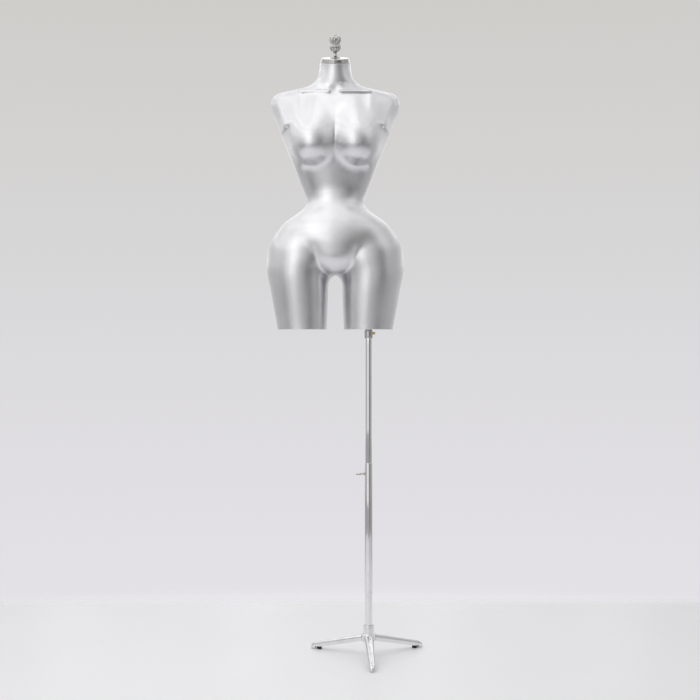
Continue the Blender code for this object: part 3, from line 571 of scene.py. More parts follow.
class Finish:
    """One material's nodes. The textures are placed in the piece's own coordinates, in metres."""

    def __init__(self, name, colour, metallic, roughness):
        self.material = bpy.data.materials.new(name)
        self.material.use_nodes = True
        self.tree = self.material.node_tree
        self.shader = self.tree.nodes["Principled BSDF"]
        self.shader.inputs["Base Color"].default_value = (*colour, 1)
        self.shader.inputs["Metallic"].default_value = metallic
        self.shader.inputs["Roughness"].default_value = roughness
        self.place = self.tree.nodes.new("ShaderNodeTexCoord").outputs["Object"]
        self.normal = None

    def add(self, kind, **values):
        node = self.tree.nodes.new(kind)
        for name, value in values.items():
            setattr(node, name, value)
        return node

    def join(self, output, node, socket):
        self.tree.links.new(output, node.inputs[socket])

    def stretched(self, stretch):
        if stretch == (1, 1, 1):
            return self.place
        node = self.add("ShaderNodeMapping")
        node.inputs["Scale"].default_value = stretch
        self.join(self.place, node, "Vector")
        return node.outputs["Vector"]

    def noise(self, scale, detail=4.0, rough=0.55, stretch=(1, 1, 1)):
        node = self.add("ShaderNodeTexNoise")
        node.inputs["Scale"].default_value = scale
        node.inputs["Detail"].default_value = detail
        node.inputs["Roughness"].default_value = rough
        self.join(self.stretched(stretch), node, "Vector")
        return node.outputs["Fac"]

    def cells(self, scale, feature="F1", output="Distance", stretch=(1, 1, 1)):
        node = self.add("ShaderNodeTexVoronoi", feature=feature)
        node.inputs["Scale"].default_value = scale
        self.join(self.stretched(stretch), node, "Vector")
        return node.outputs[output]

    def height(self):
        node = self.add("ShaderNodeSeparateXYZ")
        self.join(self.place, node, "Vector")
        return node.outputs["Z"]

    def spread(self, value, low, high, to_low=0.0, to_high=1.0, smooth=True):
        """The value carried from one range to another, and held at the ends."""
        node = self.add("ShaderNodeMapRange", interpolation_type="SMOOTHSTEP" if smooth else "LINEAR")
        ranges = {"From Min": low, "From Max": high, "To Min": to_low, "To Max": to_high}
        for socket, number in ranges.items():
            node.inputs[socket].default_value = number
        self.join(value, node, "Value")
        return node.outputs["Result"]

    def maths(self, operation, a, b):
        node = self.add("ShaderNodeMath", operation=operation)
        for socket, value in enumerate((a, b)):
            if isinstance(value, (int, float)):
                node.inputs[socket].default_value = value
            else:
                self.join(value, node, socket)
        return node.outputs["Value"]

    def blend(self, share, one, other):
        """A colour between two, each a colour or an output."""
        node = self.add("ShaderNodeMix", data_type="RGBA")
        self.join(share, node, "Factor")
        for socket, colour in ((6, one), (7, other)):
            if isinstance(colour, tuple):
                node.inputs[socket].default_value = (*colour, 1)
            else:
                self.join(colour, node, socket)
        return node.outputs[2]

    def colour(self, output):
        self.join(output, self.shader, "Base Color")

    def roughness(self, output):
        self.join(output, self.shader, "Roughness")

    def bump(self, height, depth, strength=1.0):
        """Raises the surface by this many metres where the height is 1."""
        node = self.add("ShaderNodeBump")
        node.inputs["Distance"].default_value = depth
        node.inputs["Strength"].default_value = strength
        self.join(height, node, "Height")
        if self.normal:
            self.join(self.normal, node, "Normal")
        self.normal = node.outputs["Normal"]
        self.join(self.normal, self.shader, "Normal")


def silver_paint():
    """Sprayed metallic paint: fine flake, a slight orange peel, and dull scuffs near the cut ends."""
    made = Finish("silver_paint", (0.76, 0.76, 0.77), 1.0, PAINT_ROUGHNESS)
    cloud = made.spread(made.noise(7, 3), 0.35, 0.65)
    flake = made.cells(1500)
    scuff = made.noise(90, 6, 0.7)
    z = made.height()
    low_end = made.spread(z, THIGH_CUT + 0.012, THIGH_CUT, 0.0, 1.0)
    top_end = made.spread(z, NECK_POINT.z - 0.020, NECK_POINT.z + 0.006, 0.0, 1.0)
    ends = made.maths("MAXIMUM", low_end, top_end)
    worn = made.maths("MULTIPLY", ends, made.spread(scuff, 0.46, 0.66))
    tone = made.blend(cloud, PAINT_LIGHT, PAINT_DARK)
    tone = made.blend(made.spread(flake, 0.05, 0.55, 0.10, 0.0), tone, (0.92, 0.92, 0.94))
    tone = made.blend(made.maths("MULTIPLY", worn, 0.25), tone, (0.50, 0.50, 0.51))
    made.colour(tone)
    rough = made.spread(made.noise(16, 5, 0.6), 0.3, 0.7, PAINT_ROUGHNESS - 0.025, PAINT_ROUGHNESS + 0.03)
    rough = made.maths("ADD", rough, made.maths("MULTIPLY", worn, 0.08))
    rough = made.maths("ADD", rough, made.spread(flake, 0.0, 0.6, 0.02, -0.02))
    made.roughness(rough)
    made.bump(made.noise(260, 2, 0.5), 0.00004, 0.16)
    made.bump(made.noise(2600, 1, 0.5), 0.00001, 0.2)
    return made.material


def chrome(name, lengthwise=(1, 1, 1), roughness=0.05, dull=0.0, tone=(0.84, 0.84, 0.85)):
    """Bright plating with faint polishing lines, smudges and a few hairline scratches."""
    made = Finish(name, tone, 1.0, roughness)
    smudge = made.spread(made.noise(28, 6, 0.65), 0.42, 0.72)
    lines = made.noise(900, 3, 0.6, lengthwise)
    fine = made.spread(made.cells(150, "DISTANCE_TO_EDGE", "Distance", (1, 0.35, 0.6)), 0.0, 0.012, 1.0, 0.0)
    sparse = made.maths("MULTIPLY", fine, made.spread(made.noise(45, 3), 0.55, 0.7))
    made.colour(made.blend(smudge, tone, tuple(0.91 * c for c in tone)))
    rough = made.spread(smudge, 0, 1, roughness + dull, roughness + dull + 0.07)
    rough = made.maths("ADD", rough, made.maths("MULTIPLY", sparse, 0.18))
    made.roughness(made.maths("ADD", rough, made.spread(lines, 0.3, 0.7, -0.012, 0.02)))
    made.bump(lines, 0.000006, 0.6)
    made.bump(sparse, 0.00001, -0.5)
    return made.material


def bare_steel():
    """Zinc-plated steel with a soft spangle and small stains."""
    made = Finish("bare_steel", (0.56, 0.56, 0.57), 1.0, 0.32)
    spangle = made.cells(420, "F1", "Distance")
    stain = made.spread(made.noise(70, 6, 0.65), 0.5, 0.72)
    tone = made.blend(made.spread(spangle, 0.1, 0.8), (0.62, 0.62, 0.63), (0.48, 0.48, 0.50))
    made.colour(made.blend(made.maths("MULTIPLY", stain, 0.6), tone, (0.42, 0.38, 0.32)))
    rough = made.spread(made.noise(260, 5), 0.3, 0.7, 0.24, 0.38)
    made.roughness(made.maths("ADD", rough, made.maths("MULTIPLY", stain, 0.15)))
    made.bump(made.noise(900, 4, 0.6), 0.00002, 0.5)
    return made.material


def brass():
    """Turned brass, slightly tarnished, with fine tool rings."""
    made = Finish("brass", (0.80, 0.58, 0.27), 1.0, 0.22)
    tarnish = made.spread(made.noise(240, 6, 0.65), 0.45, 0.75)
    rings = made.noise(2600, 2, 0.5, (1, 0.05, 0.05))
    made.colour(made.blend(tarnish, (0.83, 0.62, 0.30), (0.55, 0.37, 0.17)))
    rough = made.spread(tarnish, 0, 1, 0.18, 0.36)
    made.roughness(made.maths("ADD", rough, made.spread(rings, 0.3, 0.7, -0.03, 0.03)))
    made.bump(rings, 0.00002, 0.5)
    return made.material


def black_rubber():
    made = Finish("black_rubber", (0.02, 0.02, 0.02), 0.0, 0.7)
    dust = made.spread(made.noise(190, 6, 0.7), 0.48, 0.74)
    made.colour(made.blend(dust, (0.014, 0.014, 0.015), (0.075, 0.072, 0.070)))
    made.roughness(made.spread(made.noise(600, 4), 0.3, 0.7, 0.58, 0.82))
    made.bump(made.noise(1700, 4, 0.6), 0.00006, 0.6)
    return made.material


def white_nylon():
    made = Finish("white_nylon", (0.80, 0.80, 0.77), 0.0, 0.42)
    cloud = made.spread(made.noise(120, 5), 0.35, 0.65)
    made.colour(made.blend(cloud, (0.82, 0.82, 0.79), (0.70, 0.69, 0.65)))
    made.roughness(made.spread(made.noise(500, 4), 0.3, 0.7, 0.34, 0.5))
    made.bump(made.noise(1400, 3), 0.00003, 0.5)
    return made.material


def grey_board():
    """Pressed fibre board: short pale and dark fibres in a grey ground."""
    made = Finish("grey_board", (0.34, 0.34, 0.35), 0.0, 0.62)
    fibre = made.noise(520, 6, 0.7, (1, 0.22, 1))
    other = made.noise(430, 6, 0.7, (0.25, 1, 1))
    tone = made.blend(made.spread(fibre, 0.35, 0.65), (0.27, 0.27, 0.28), (0.40, 0.40, 0.41))
    made.colour(made.blend(made.spread(other, 0.5, 0.72, 0.0, 0.6), tone, (0.52, 0.51, 0.50)))
    made.roughness(made.spread(other, 0.3, 0.7, 0.52, 0.72))
    made.bump(fibre, 0.00012, 0.5)
    made.bump(other, 0.00008, 0.5)
    return made.material


PAINT_ROUGHNESS = 0.33
PAINT_LIGHT, PAINT_DARK = (0.80, 0.80, 0.815), (0.74, 0.74, 0.755)
SILVER = silver_paint()
TUBE_CHROME = chrome("tube_chrome", (1, 1, 0.02))
CAST_CHROME = chrome("cast_chrome", (1, 1, 1), 0.06, 0.01)
NICKEL = chrome("polished_nickel", (1, 1, 1), 0.06, 0.0, (0.56, 0.55, 0.525))
STEEL, BRASS, RUBBER = bare_steel(), brass(), black_rubber()
NYLON, BOARD = white_nylon(), grey_board()


# ---- The form and its ends ----

BODIES = frame["record"]["behaviour"]["bodies"]
NODE_BODY = {node: body for body, nodes in BODIES.items() for node in nodes}
TO_POLE = Matrix.Translation(POLE)


def stand_in(node, mesh, look, name=None):
    """A finer piece, in the row frame, in place of one CAD node and on its body."""
    piece = bpy.data.objects.new(name or node + "_fine", mesh)
    bpy.context.scene.collection.objects.link(piece)
    mesh.materials.clear()
    mesh.materials.append(look)
    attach(piece, NODE_BODY[node])
    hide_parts(node)


def thigh_outline(side, height, inset, count=112):
    """The thigh's section at this height, drawn in by the inset, in the row frame."""
    angles = 2 * math.pi * np.arange(count) / count
    near, far = np.zeros(count), np.full(count, 0.15)
    for _ in range(14):
        reach = (near + far) / 2
        x, y = THIGH_X + reach * np.cos(angles), reach * np.sin(angles)
        inside = form(x, y, np.full(count, height)) < -inset
        near, far = np.where(inside, reach, near), np.where(inside, far, reach)
    x, y = side * (THIGH_X + near * np.cos(angles)), near * np.sin(angles)
    return [TORSO + Vector((a, b, height)) for a, b in zip(x, y)]


def drill(radius, low, high, matrix, sides=40):
    """A plain round cutter."""
    return finished(grid_mesh([circle(radius, height, sides, matrix) for height in (low, high)]))


def thigh_plate(node, side):
    low, high = (corner.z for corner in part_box(node))
    rows = ((0.0009, low), (0.0003, low + 0.0006), (0.0003, high - 0.0006), (0.0009, high))
    rings = []
    for more, height in rows:
        ring = thigh_outline(side, (low + high) / 2, SHELL_WALL + more)
        rings.append([Vector((p.x, p.y, height)) for p in ring])
    return finished(grid_mesh(rings))


def screw_spots():
    return [centre_of(f"flange_screw_{i}") for i in range(1, 5)]


def build_form():
    stand_in("torso_shell", torso_skin(), SILVER, "torso_form")
    stand_in("right_thigh_plate", thigh_plate("right_thigh_plate", -1), BOARD)
    plate = thigh_plate("left_thigh_plate", 1)
    low, high = (corner.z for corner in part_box("left_thigh_plate"))
    bore = drill(radius_of("socket_tube") + 0.0005, low - 0.01, high + 0.01, TO_POLE)
    plate = boolean(plate, bore, "DIFFERENCE")
    for spot in screw_spots():
        hole = drill(0.0021, low - 0.01, high + 0.01, Matrix.Translation((spot.x, spot.y, 0)), 20)
        plate = boolean(plate, hole, "DIFFERENCE")
    stand_in("left_thigh_plate", plate, BOARD)


def build_flange():
    low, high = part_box("socket_flange")
    radius, bore = radius_of("socket_flange"), radius_of("socket_tube") + 0.0003
    profile = [(bore, low.z), (radius, low.z), (radius, high.z), (bore, high.z)]
    disc = turned_ring(profile, 0.0007, 96, TO_POLE)
    for spot in screw_spots():
        hole = drill(0.0023, low.z - 0.01, high.z + 0.01, Matrix.Translation((spot.x, spot.y, 0)), 24)
        disc = boolean(disc, hole, "DIFFERENCE")
    stand_in("socket_flange", disc, STEEL)


# ---- The neck's cap and finial, in a frame whose +Z is the neck's axis ----

NECK_MATRIX = axis_frame(NECK_POINT, NECK_AXIS)


def along(matrix, node):
    """A node's two ends along this frame's +Z, and its greatest distance from it."""
    local = [matrix.inverted() @ v.co for v in frame["nodes"][node].data.vertices]
    return min(p.z for p in local), max(p.z for p in local), max(p.xy.length for p in local)


def build_cap():
    low, high, radius = along(NECK_MATRIX, "neck_cap")
    wall, hole = PLATING_WALL, STUD_HOLE
    profile = [
        (radius - wall, low),
        (radius, low),
        (radius, low + 0.0012),
        (radius - 0.0004, low + 0.0015),
        (radius - 0.0004, high - 0.0024),
        (radius - 0.0022, high),
        (hole, high),
        (hole, high - wall),
        (radius - wall - 0.0002, high - wall - 0.0006),
    ]
    cap = turned_ring(profile, 0.0009, 128, NECK_MATRIX)
    stand_in("neck_cap", cap, NICKEL)


def build_finial_foot():
    low, high, radius = along(NECK_MATRIX, "finial_foot")
    rise, hole = high - low, STUD_HOLE
    shares = [(0.9677, 0.0), (1.0, 0.06), (0.985, 0.16), (0.90, 0.20), (0.74, 0.225), (0.70, 0.26)]
    shares += [(0.60, 0.36), (0.46, 0.52), (0.36, 0.70), (0.315, 0.86), (0.33, 0.93)]
    shares += [(0.34, 0.965), (0.315, 1.0)]
    profile = [(hole, low)] + [(radius * r, low + rise * h) for r, h in shares] + [(hole, high)]
    foot = turned_ring(profile, 0.0008, 96, NECK_MATRIX, 60)
    stand_in("finial_foot", foot, NICKEL)


def window(t, low, high, fade):
    """1 between low and high, easing to 0 over the fade at each end."""
    return float(smooth_step(t, low - fade, low) * (1 - smooth_step(t, high, high + fade)))


def ornament(share, angle):
    """The finial's relief as a factor on its radius: leaves, a ring of beads, and a scaled bud."""
    leaf = abs(math.cos(4 * angle)) ** 0.55
    vein = abs(math.cos(8 * angle + math.pi / 2)) ** 0.5
    lower = window(share, 0.10, 0.41, 0.06) * (0.10 * (leaf - 1) - 0.03 * (1 - vein) * leaf)
    curl = window(share, 0.40, 0.43, 0.03) * 0.07 * (leaf - 0.55)
    bead = window(share, 0.485, 0.515, 0.03) * (0.14 * math.sqrt(max(0.0, math.cos(10 * angle))) - 0.06)
    twist = 9.5 * (share - 0.55)
    one, two = abs(math.sin(4 * angle + twist)), abs(math.sin(4 * angle - twist))
    scale = window(share, 0.60, 0.88, 0.05) * 0.21 * (min(one, two) ** 0.6 - 0.62)
    return 1 + lower + curl + bead + scale


def build_finial():
    low, high, radius = along(NECK_MATRIX, "finial")
    rise, hole = high - low, STUD_HOLE
    knots = [0.0, 0.05, 0.108, 0.222, 0.373, 0.455, 0.50, 0.545, 0.608, 0.73, 0.84, 0.915, 0.945, 0.975]
    values = [0.30, 0.47, 0.72, 0.90, 0.93, 0.80, 0.74, 0.80, 0.92, 0.985, 0.88, 0.60, 0.40, 0.34]
    outer = spline(knots, values)
    profile = [(0, low + 0.27 * rise), (hole, low + 0.27 * rise), (hole, low)]
    profile += [(radius * float(outer(t)), low + rise * t) for t in np.linspace(0, 0.93, 118)]
    button = [(0.47, 0.936), (0.50, 0.950), (0.44, 0.970), (0.28, 0.988), (0.12, 0.998), (0, 1.0)]
    profile += [(radius * 0.62 * r, low + rise * h) for r, h in button]

    def shape(r, z, angle):
        share = (z - low) / rise
        if r <= hole * 1.01 or share > 0.932:
            return r, z
        return min(radius, r * ornament(share, angle)), z

    finial = turned_solid(profile, shape, 0, 160, NECK_MATRIX, 75)
    stand_in("finial", finial, NICKEL)


# ---- The pole's pieces ----


def pipe(node, bore, round_to=0.0004, sides=72):
    low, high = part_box(node)
    radius = radius_of(node)
    profile = [(bore, low.z), (radius, low.z), (radius, high.z), (bore, high.z)]
    return turned_ring(profile, round_to, sides, TO_POLE)


def lock_matrix(joint):
    """A clamping screw's frame: +Z points away from the pole."""
    return axis_frame(JOINTS[joint]["pos_m"], JOINTS[joint]["axis"])


def build_poles():
    stand_in("upper_pole", pipe("upper_pole", 0.0080), TUBE_CHROME)
    lower = pipe("lower_tube", 0.00985, 0.0005)
    hole = drill(0.0033, 0.004, 0.02, lock_matrix("height_lock_turn"), 28)
    stand_in("lower_tube", boolean(lower, hole, "DIFFERENCE"), TUBE_CHROME)
    low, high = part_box("socket_collar")
    radius, bore = radius_of("socket_collar"), 0.0111
    profile = [
        (bore, low.z),
        (radius - 0.0014, low.z),
        (radius, low.z + 0.0016),
        (radius, low.z + 0.0050),
        (radius - 0.0004, low.z + 0.0054),
        (radius - 0.0004, low.z + 0.0060),
        (radius, low.z + 0.0064),
        (radius, high.z - 0.0010),
        (radius - 0.0008, high.z),
        (bore, high.z),
    ]
    collar = turned_ring(profile, 0.0006, 72, TO_POLE)
    hole = drill(0.0028, 0.005, 0.02, lock_matrix("socket_lock_turn"), 28)
    stand_in("socket_collar", boolean(collar, hole, "DIFFERENCE"), NICKEL)


def build_height_lock():
    matrix = lock_matrix("height_lock_turn")
    _, top, radius = along(matrix, "lock_boss")
    profile = [(0, 0.008), (radius, 0.008), (radius, top - 0.001), (radius - 0.0012, top), (0, top)]
    boss = turned_solid(profile, None, 0.0006, 56, matrix)
    reach = radius_of("lower_tube") + 0.0003
    boss = boolean(boss, drill(reach, 0.50, 0.60, TO_POLE, 72), "DIFFERENCE")
    boss = boolean(boss, drill(0.0033, 0.004, 0.03, matrix, 32), "DIFFERENCE")
    stand_in("lock_boss", boss, NICKEL)
    low, high, _ = along(matrix, "height_lock_screw")
    stand_in("height_lock_screw", lock_screw(matrix, low, high), NICKEL)


def lock_screw(matrix, low, high):
    """A threaded shank, a waist, and a flat dished thumb grip in the horizontal plane."""
    neck = low + 0.0051
    shank = [(0, low), (0.0024, low), (0.0029, low + 0.0005)]
    turn = low + 0.0009
    while turn < neck - 0.0006:
        shank += [(0.00255, turn), (0.0029, turn + 0.00025), (0.0029, turn + 0.0004)]
        turn += 0.0007
    shank += [(0.0029, neck), (0.0021, neck + 0.0009), (0.0019, neck + 0.0022), (0.0024, neck + 0.0042)]
    shank += [(0, neck + 0.0042)]
    bar = turned_solid(shank, None, 0.0001, 40, matrix)
    half, thick = 0.0088, 0.0024
    middle = high - half

    def dish(r, z, angle):
        dent = 0.0007 * float(smooth_step(r, 0.0075, 0.0030)) if r > 1e-6 else 0.0007
        return r, z - math.copysign(dent, z)

    rim = [(0.0020, 1), (0.0040, 1), (0.0058, 1), (0.0072, 0.97), (0.0082, 0.78), (half, 0.30)]
    outline = [(0, -thick + 0.0007)] + [(r, -thick * s) for r, s in rim]
    outline += [(r, thick * s) for r, s in reversed(rim)] + [(0, thick - 0.0007)]
    out = matrix.col[2].xyz
    across = Vector((0, 0, 1)).cross(out).normalized()
    level = Matrix((out, across, out.cross(across))).transposed().to_4x4()
    level.translation = matrix @ Vector((0, 0, middle))
    grip = turned_solid(outline, dish, 0, 64, level @ Matrix.Diagonal((1, 0.82, 1, 1)), 50)
    return boolean(bar, grip, "UNION")


def build_socket_lock():
    """A knurled brass thumb screw with a chamfered head and a fine shank."""
    matrix = lock_matrix("socket_lock_turn")
    low, high, radius = along(matrix, "socket_lock_screw")
    head = low + 0.0017
    points = [(0, low), (0.0024, low), (0.0024, head - 0.0003), (0.0032, head), (radius, head + 0.0008)]
    points += [(radius, high - 0.0009), (0.0032, high), (0.0020, high - 0.0003), (0, high - 0.0005)]

    def knurl(r, z, angle):
        if r < radius - 0.0001:
            return r, z
        return r - 0.00028 * (0.5 + 0.5 * math.cos(26 * angle)), z

    screw = turned_solid(points, knurl, 0.0002, 156, matrix)
    stand_in("socket_lock_screw", screw, BRASS)


# ---- The base ----


def build_hub():
    low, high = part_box("base_hub")
    foot, top, flange = low.z, high.z, radius_of("base_hub")
    body, bore = flange - 0.0057, flange - 0.0102
    step = foot + 0.0155
    profile = [
        (0.0044, foot),
        (flange - 0.0008, foot),
        (flange, foot + 0.0010),
        (flange, step - 0.0004),
        (flange - 0.0012, step + 0.0012),
        (body + 0.0008, step + 0.0020),
        (body, step + 0.0032),
        (body, top - 0.0042),
        (body - 0.0005, top - 0.0038),
        (body - 0.0005, top - 0.0032),
        (body, top - 0.0028),
        (body, top - 0.0007),
        (body - 0.0008, top),
        (bore + 0.0008, top),
        (bore, top - 0.0007),
        (bore, foot + 0.0060),
        (0.0044, foot + 0.0060),
    ]
    stand_in("base_hub", turned_ring(profile, 0.0009, 96, TO_POLE, 45), CAST_CHROME)


LEG_END, TOE_START = 0.197, 0.180


def leg_sizes(radius):
    """The leg's top, underside and half width this far from the pole's axis."""
    half = 0.0090 + 0.0042 * (LEG_END - radius) / LEG_END + 0.0030 * math.exp(-radius / 0.030)
    top = 0.062 - 0.26 * (radius - 0.020)
    line = 0.0425 - 0.238 * (radius - 0.020)
    to_pad = float(smooth_step(radius, 0.1585, 0.1630))
    under = line + (0.0085 - line) * to_pad
    under += (0.0020 - under) * float(smooth_step(radius, 0.1766, 0.1786))
    if radius > TOE_START:
        share = (radius - TOE_START) / (LEG_END - TOE_START)
        curve = math.sqrt(max(0.0, 1 - share**2.2))
        top = 0.0028 + (top - 0.0028) * curve
        half = 0.0006 + (half - 0.0006) * curve ** 0.8
    return top, under, half


def leg_ring(radius, matrix):
    """One section, from the underside round the crowned and grooved top, with rounded corners."""
    top, under, half = leg_sizes(radius)
    groove = 0.0002 + 0.0042 * float(smooth_step(radius, 0.186, 0.04)) * min(1.0, half / 0.009)
    drop = min(0.42 * half, 0.5 * (top - under))
    corners = [
        (-0.985 * half, under, 0.0008),
        (0.985 * half, under, 0.0008),
        (half, top - 1.25 * drop, 0.0022),
        (0.66 * half, top - 0.12 * drop, 0.0022),
        (groove + 0.0008, top, 0.0009),
        (0, top - groove, 0.0007),
        (-groove - 0.0008, top, 0.0009),
        (-0.66 * half, top - 0.12 * drop, 0.0022),
        (-half, top - 1.25 * drop, 0.0022),
    ]
    ring, count = [], len(corners)
    for i in range(count):
        before, here, after = (Vector(corners[(i + k) % count][:2]) for k in (-1, 0, 1))
        ring += rounded_corner(before, here, after, corners[i][2], 4)
    return [matrix @ Vector((radius, *point)) for point in ring]


def leg_stations():
    run = list(np.linspace(0.012, 0.156, 25))
    run += list(np.linspace(0.1585, 0.1630, 7)) + [0.1660, 0.1700, 0.1740]
    run += list(np.linspace(0.1766, 0.1786, 6)) + [TOE_START + 0.0008]
    share = 1 - (1 - np.linspace(0.12, 0.985, 12)) ** 1.7
    return run + list(TOE_START + share * (LEG_END - TOE_START))


def build_leg(number):
    screw = centre_of(f"leg_screw_{number}")
    turn = math.atan2(screw.y - POLE.y, screw.x - POLE.x)
    matrix = TO_POLE @ Matrix.Rotation(turn, 4, "Z")
    arm = finished(grid_mesh([leg_ring(radius, matrix) for radius in leg_stations()]), 50)
    hub = drill(radius_of("base_hub") + 0.0003, 0.02, 0.09, TO_POLE, 96)
    arm = boolean(arm, hub, "DIFFERENCE")
    lug_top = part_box("base_hub")[0].z - 0.0003
    lug_points = [[(x, y, z) for x, y in ((0.0098, -0.008), (0.030, -0.008), (0.030, 0.008), (0.0098, 0.008))]
                  for z in (lug_top - 0.0037, lug_top)]
    lug = finished(grid_mesh([[matrix @ Vector(p) for p in ring] for ring in lug_points]))
    arm = boolean(arm, lug, "UNION")
    for radius, size, low, high in ((0.0158, 0.0028, 0.03, 0.0565), (0.168, 0.0020, 0.0, 0.0150)):
        hole = drill(size, low, high, matrix @ Matrix.Translation((radius, 0, 0)), 24)
        arm = boolean(arm, hole, "DIFFERENCE")
    arm.set_sharp_from_angle(angle=math.radians(50))
    stand_in(f"leg_{number}", arm, CAST_CHROME)


def build_pad(number):
    low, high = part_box(f"foot_pad_{number}")
    middle, radius = (low + high) / 2, (high.x - low.x) / 2
    profile = [
        (0.0020, low.z + 0.0028),
        (0.0042, low.z + 0.0028),
        (0.0042, low.z),
        (radius - 0.0008, low.z),
        (radius, low.z + 0.0008),
        (radius - 0.0003, high.z - 0.0030),
        (radius - 0.0009, high.z - 0.0026),
        (radius - 0.0006, high.z),
        (0.0020, high.z),
    ]
    pad = turned_ring(profile, 0.0004, 56, Matrix.Translation((middle.x, middle.y, 0)))
    stand_in(f"foot_pad_{number}", pad, RUBBER)


# ---- CAD nodes that stay, with their better finishes ----

NYLON_NODES = ("pole_glide", "thrust_washer", "height_lock_tip", "socket_lock_tip")


def dress_kept_nodes():
    for name, node in frame["nodes"].items():
        if node.hide_render:
            continue
        look = NYLON if name in NYLON_NODES else BOARD if name == "neck_plug" else STEEL
        node.data.materials.clear()
        node.data.materials.append(look)


build_form()
build_flange()
build_cap()
build_finial_foot()
build_finial()
build_poles()
build_height_lock()
build_socket_lock()
build_hub()
for leg_number in (1, 2, 3):
    build_leg(leg_number)
    build_pad(leg_number)
dress_kept_nodes()


# ---- Floor, backdrop, camera and light ----

FLOOR_FRONT, FLOOR_BACK, FLOOR_SIDE, FLOOR_FADE = -2.6, 0.86, 2.6, 0.16
FLOOR_COLOUR = (0.95, 0.945, 0.965)
SEAM_FALL, TOP_RISE = -0.206, 0.243  # sines of the seam's and the picture's top's heights
BACKDROP = [
    (0.0, (0.822, 0.800, 0.845)),
    (0.028, (0.818, 0.797, 0.840)),
    (0.044, (0.775, 0.757, 0.795)),
    (0.40, (0.715, 0.705, 0.725)),
    (1.0, (0.620, 0.612, 0.590)),
]
STUDIO_GREY = 0.40
# The dark gap in front at the right: its direction and half width in radians, and its depth.
GAP_TURN, GAP_HALF, GAP_EDGE, GAP_DEPTH = 0.70, 0.20, 0.10, 0.55
DOME_CENTRE, DOME_R = Vector((-0.03, 0, 1.15)), 3.0
DOME_RISES = range(-4, 90, 18)  # the heights of the rings of soft boxes, in degrees
DOME_RING, DOME_OVERLAP, DIMMEST = 20, 1.3, 0.01
# The studio's soft lights. Each is (turn from the front towards +X, rise, spread,
# brightness), and the angles are in degrees.
SOFT_LIGHTS = [
    (-25, 32, 20, 0.60),  # the key, in front at the left
    (-22, 2, 18, 0.65),  # a low strip for the thighs
    (0, 72, 22, 0.45),  # overhead
    (-80, 42, 35, 0.40),  # the left side
    (60, 35, 22, 0.30),  # the right side
    (180, 35, 50, 0.50),  # the rim light, behind
]


def build_floor():
    """A pale glossy floor whose far edge fades into the backdrop."""
    build = bmesh.new()
    bmesh.ops.create_grid(build, x_segments=24, y_segments=24, size=0.5)
    for vert in build.verts:
        x = vert.co.x * 2 * FLOOR_SIDE
        y = FLOOR_FRONT + (vert.co.y + 0.5) * (FLOOR_BACK - FLOOR_FRONT)
        vert.co = Vector((x, y, 0))
    mesh = bpy.data.meshes.new("studio_floor")
    build.to_mesh(mesh)
    build.free()
    floor = bpy.data.objects.new("studio_floor", mesh)
    bpy.context.scene.collection.objects.link(floor)
    made = Finish("floor_paint", FLOOR_COLOUR, 0.0, 0.22)
    cloud = made.spread(made.noise(2.5, 3), 0.3, 0.7)
    made.colour(made.blend(cloud, FLOOR_COLOUR, tuple(0.985 * c for c in FLOOR_COLOUR)))
    made.roughness(made.spread(made.noise(30, 4), 0.3, 0.7, 0.30, 0.38))
    made.bump(made.noise(35, 2), 0.0002, 0.1)
    fade_far_edge(made.material)
    mesh.materials.append(made.material)


def fade_far_edge(material):
    tree = material.node_tree
    place = tree.nodes.new("ShaderNodeNewGeometry")
    parts = tree.nodes.new("ShaderNodeSeparateXYZ")
    tree.links.new(place.outputs["Position"], parts.inputs[0])
    fade = ramp_node(tree, parts.outputs["Y"], FLOOR_BACK - FLOOR_FADE, FLOOR_BACK, 1.0, 0.0)
    tree.links.new(fade, tree.nodes["Principled BSDF"].inputs["Alpha"])


def build_camera():
    """Level with the thighs' ends, square to the form, and far enough to see all of it."""
    data = bpy.data.cameras.new("camera")
    data.sensor_width, data.lens = 36.0, 66.857
    data.shift_y = -0.0357
    camera = bpy.data.objects.new("camera", data)
    bpy.context.scene.collection.objects.link(camera)
    camera.location = (POLE.x - 0.0558, POLE.y - 3.9, 0.99)
    camera.rotation_euler = (math.pi / 2, 0, 0)
    bpy.context.scene.camera = camera


def dome_way(turn, rise):
    """The direction of a place on the dome: turn 0 is in front, and 90 on the +X side."""
    turn, rise = math.radians(turn), math.radians(rise)
    return Vector((math.sin(turn) * math.cos(rise), -math.cos(turn) * math.cos(rise), math.sin(rise)))


def dome_brightness(way):
    """What the soft lights add up to in a direction: each falls off with the angle from its middle."""
    total = 0
    for turn, rise, spread, brightness in SOFT_LIGHTS:
        off = way.angle(dome_way(turn, rise)) / math.radians(spread)
        total += brightness * math.exp(-(off**2))
    return total


def soft_box(way, width, height, brightness):
    """A diffuse panel on the dome, facing its centre."""
    data = bpy.data.lights.new("soft_box", "AREA")
    data.shape, data.size, data.size_y = "RECTANGLE", width, height
    data.energy = math.pi * width * height * brightness
    light = bpy.data.objects.new("soft_box", data)
    bpy.context.scene.collection.objects.link(light)
    light.location = DOME_CENTRE + DOME_R * way
    light.rotation_euler = (-way).to_track_quat("-Z", "Y").to_euler()
    light.visible_camera = False


def ramp_node(tree, value, low, high, start, end):
    made = tree.nodes.new("ShaderNodeMapRange")
    made.interpolation_type = "SMOOTHSTEP"
    for name, number in (("From Min", low), ("From Max", high), ("To Min", start), ("To Max", end)):
        made.inputs[name].default_value = number
    tree.links.new(value, made.inputs["Value"])
    return made.outputs["Result"]


def maths_node(tree, operation, *values):
    made = tree.nodes.new("ShaderNodeMath")
    made.operation = operation
    for socket, value in zip(made.inputs, values):
        if isinstance(value, bpy.types.NodeSocket):
            tree.links.new(value, socket)
        else:
            socket.default_value = value
    return made.outputs[0]


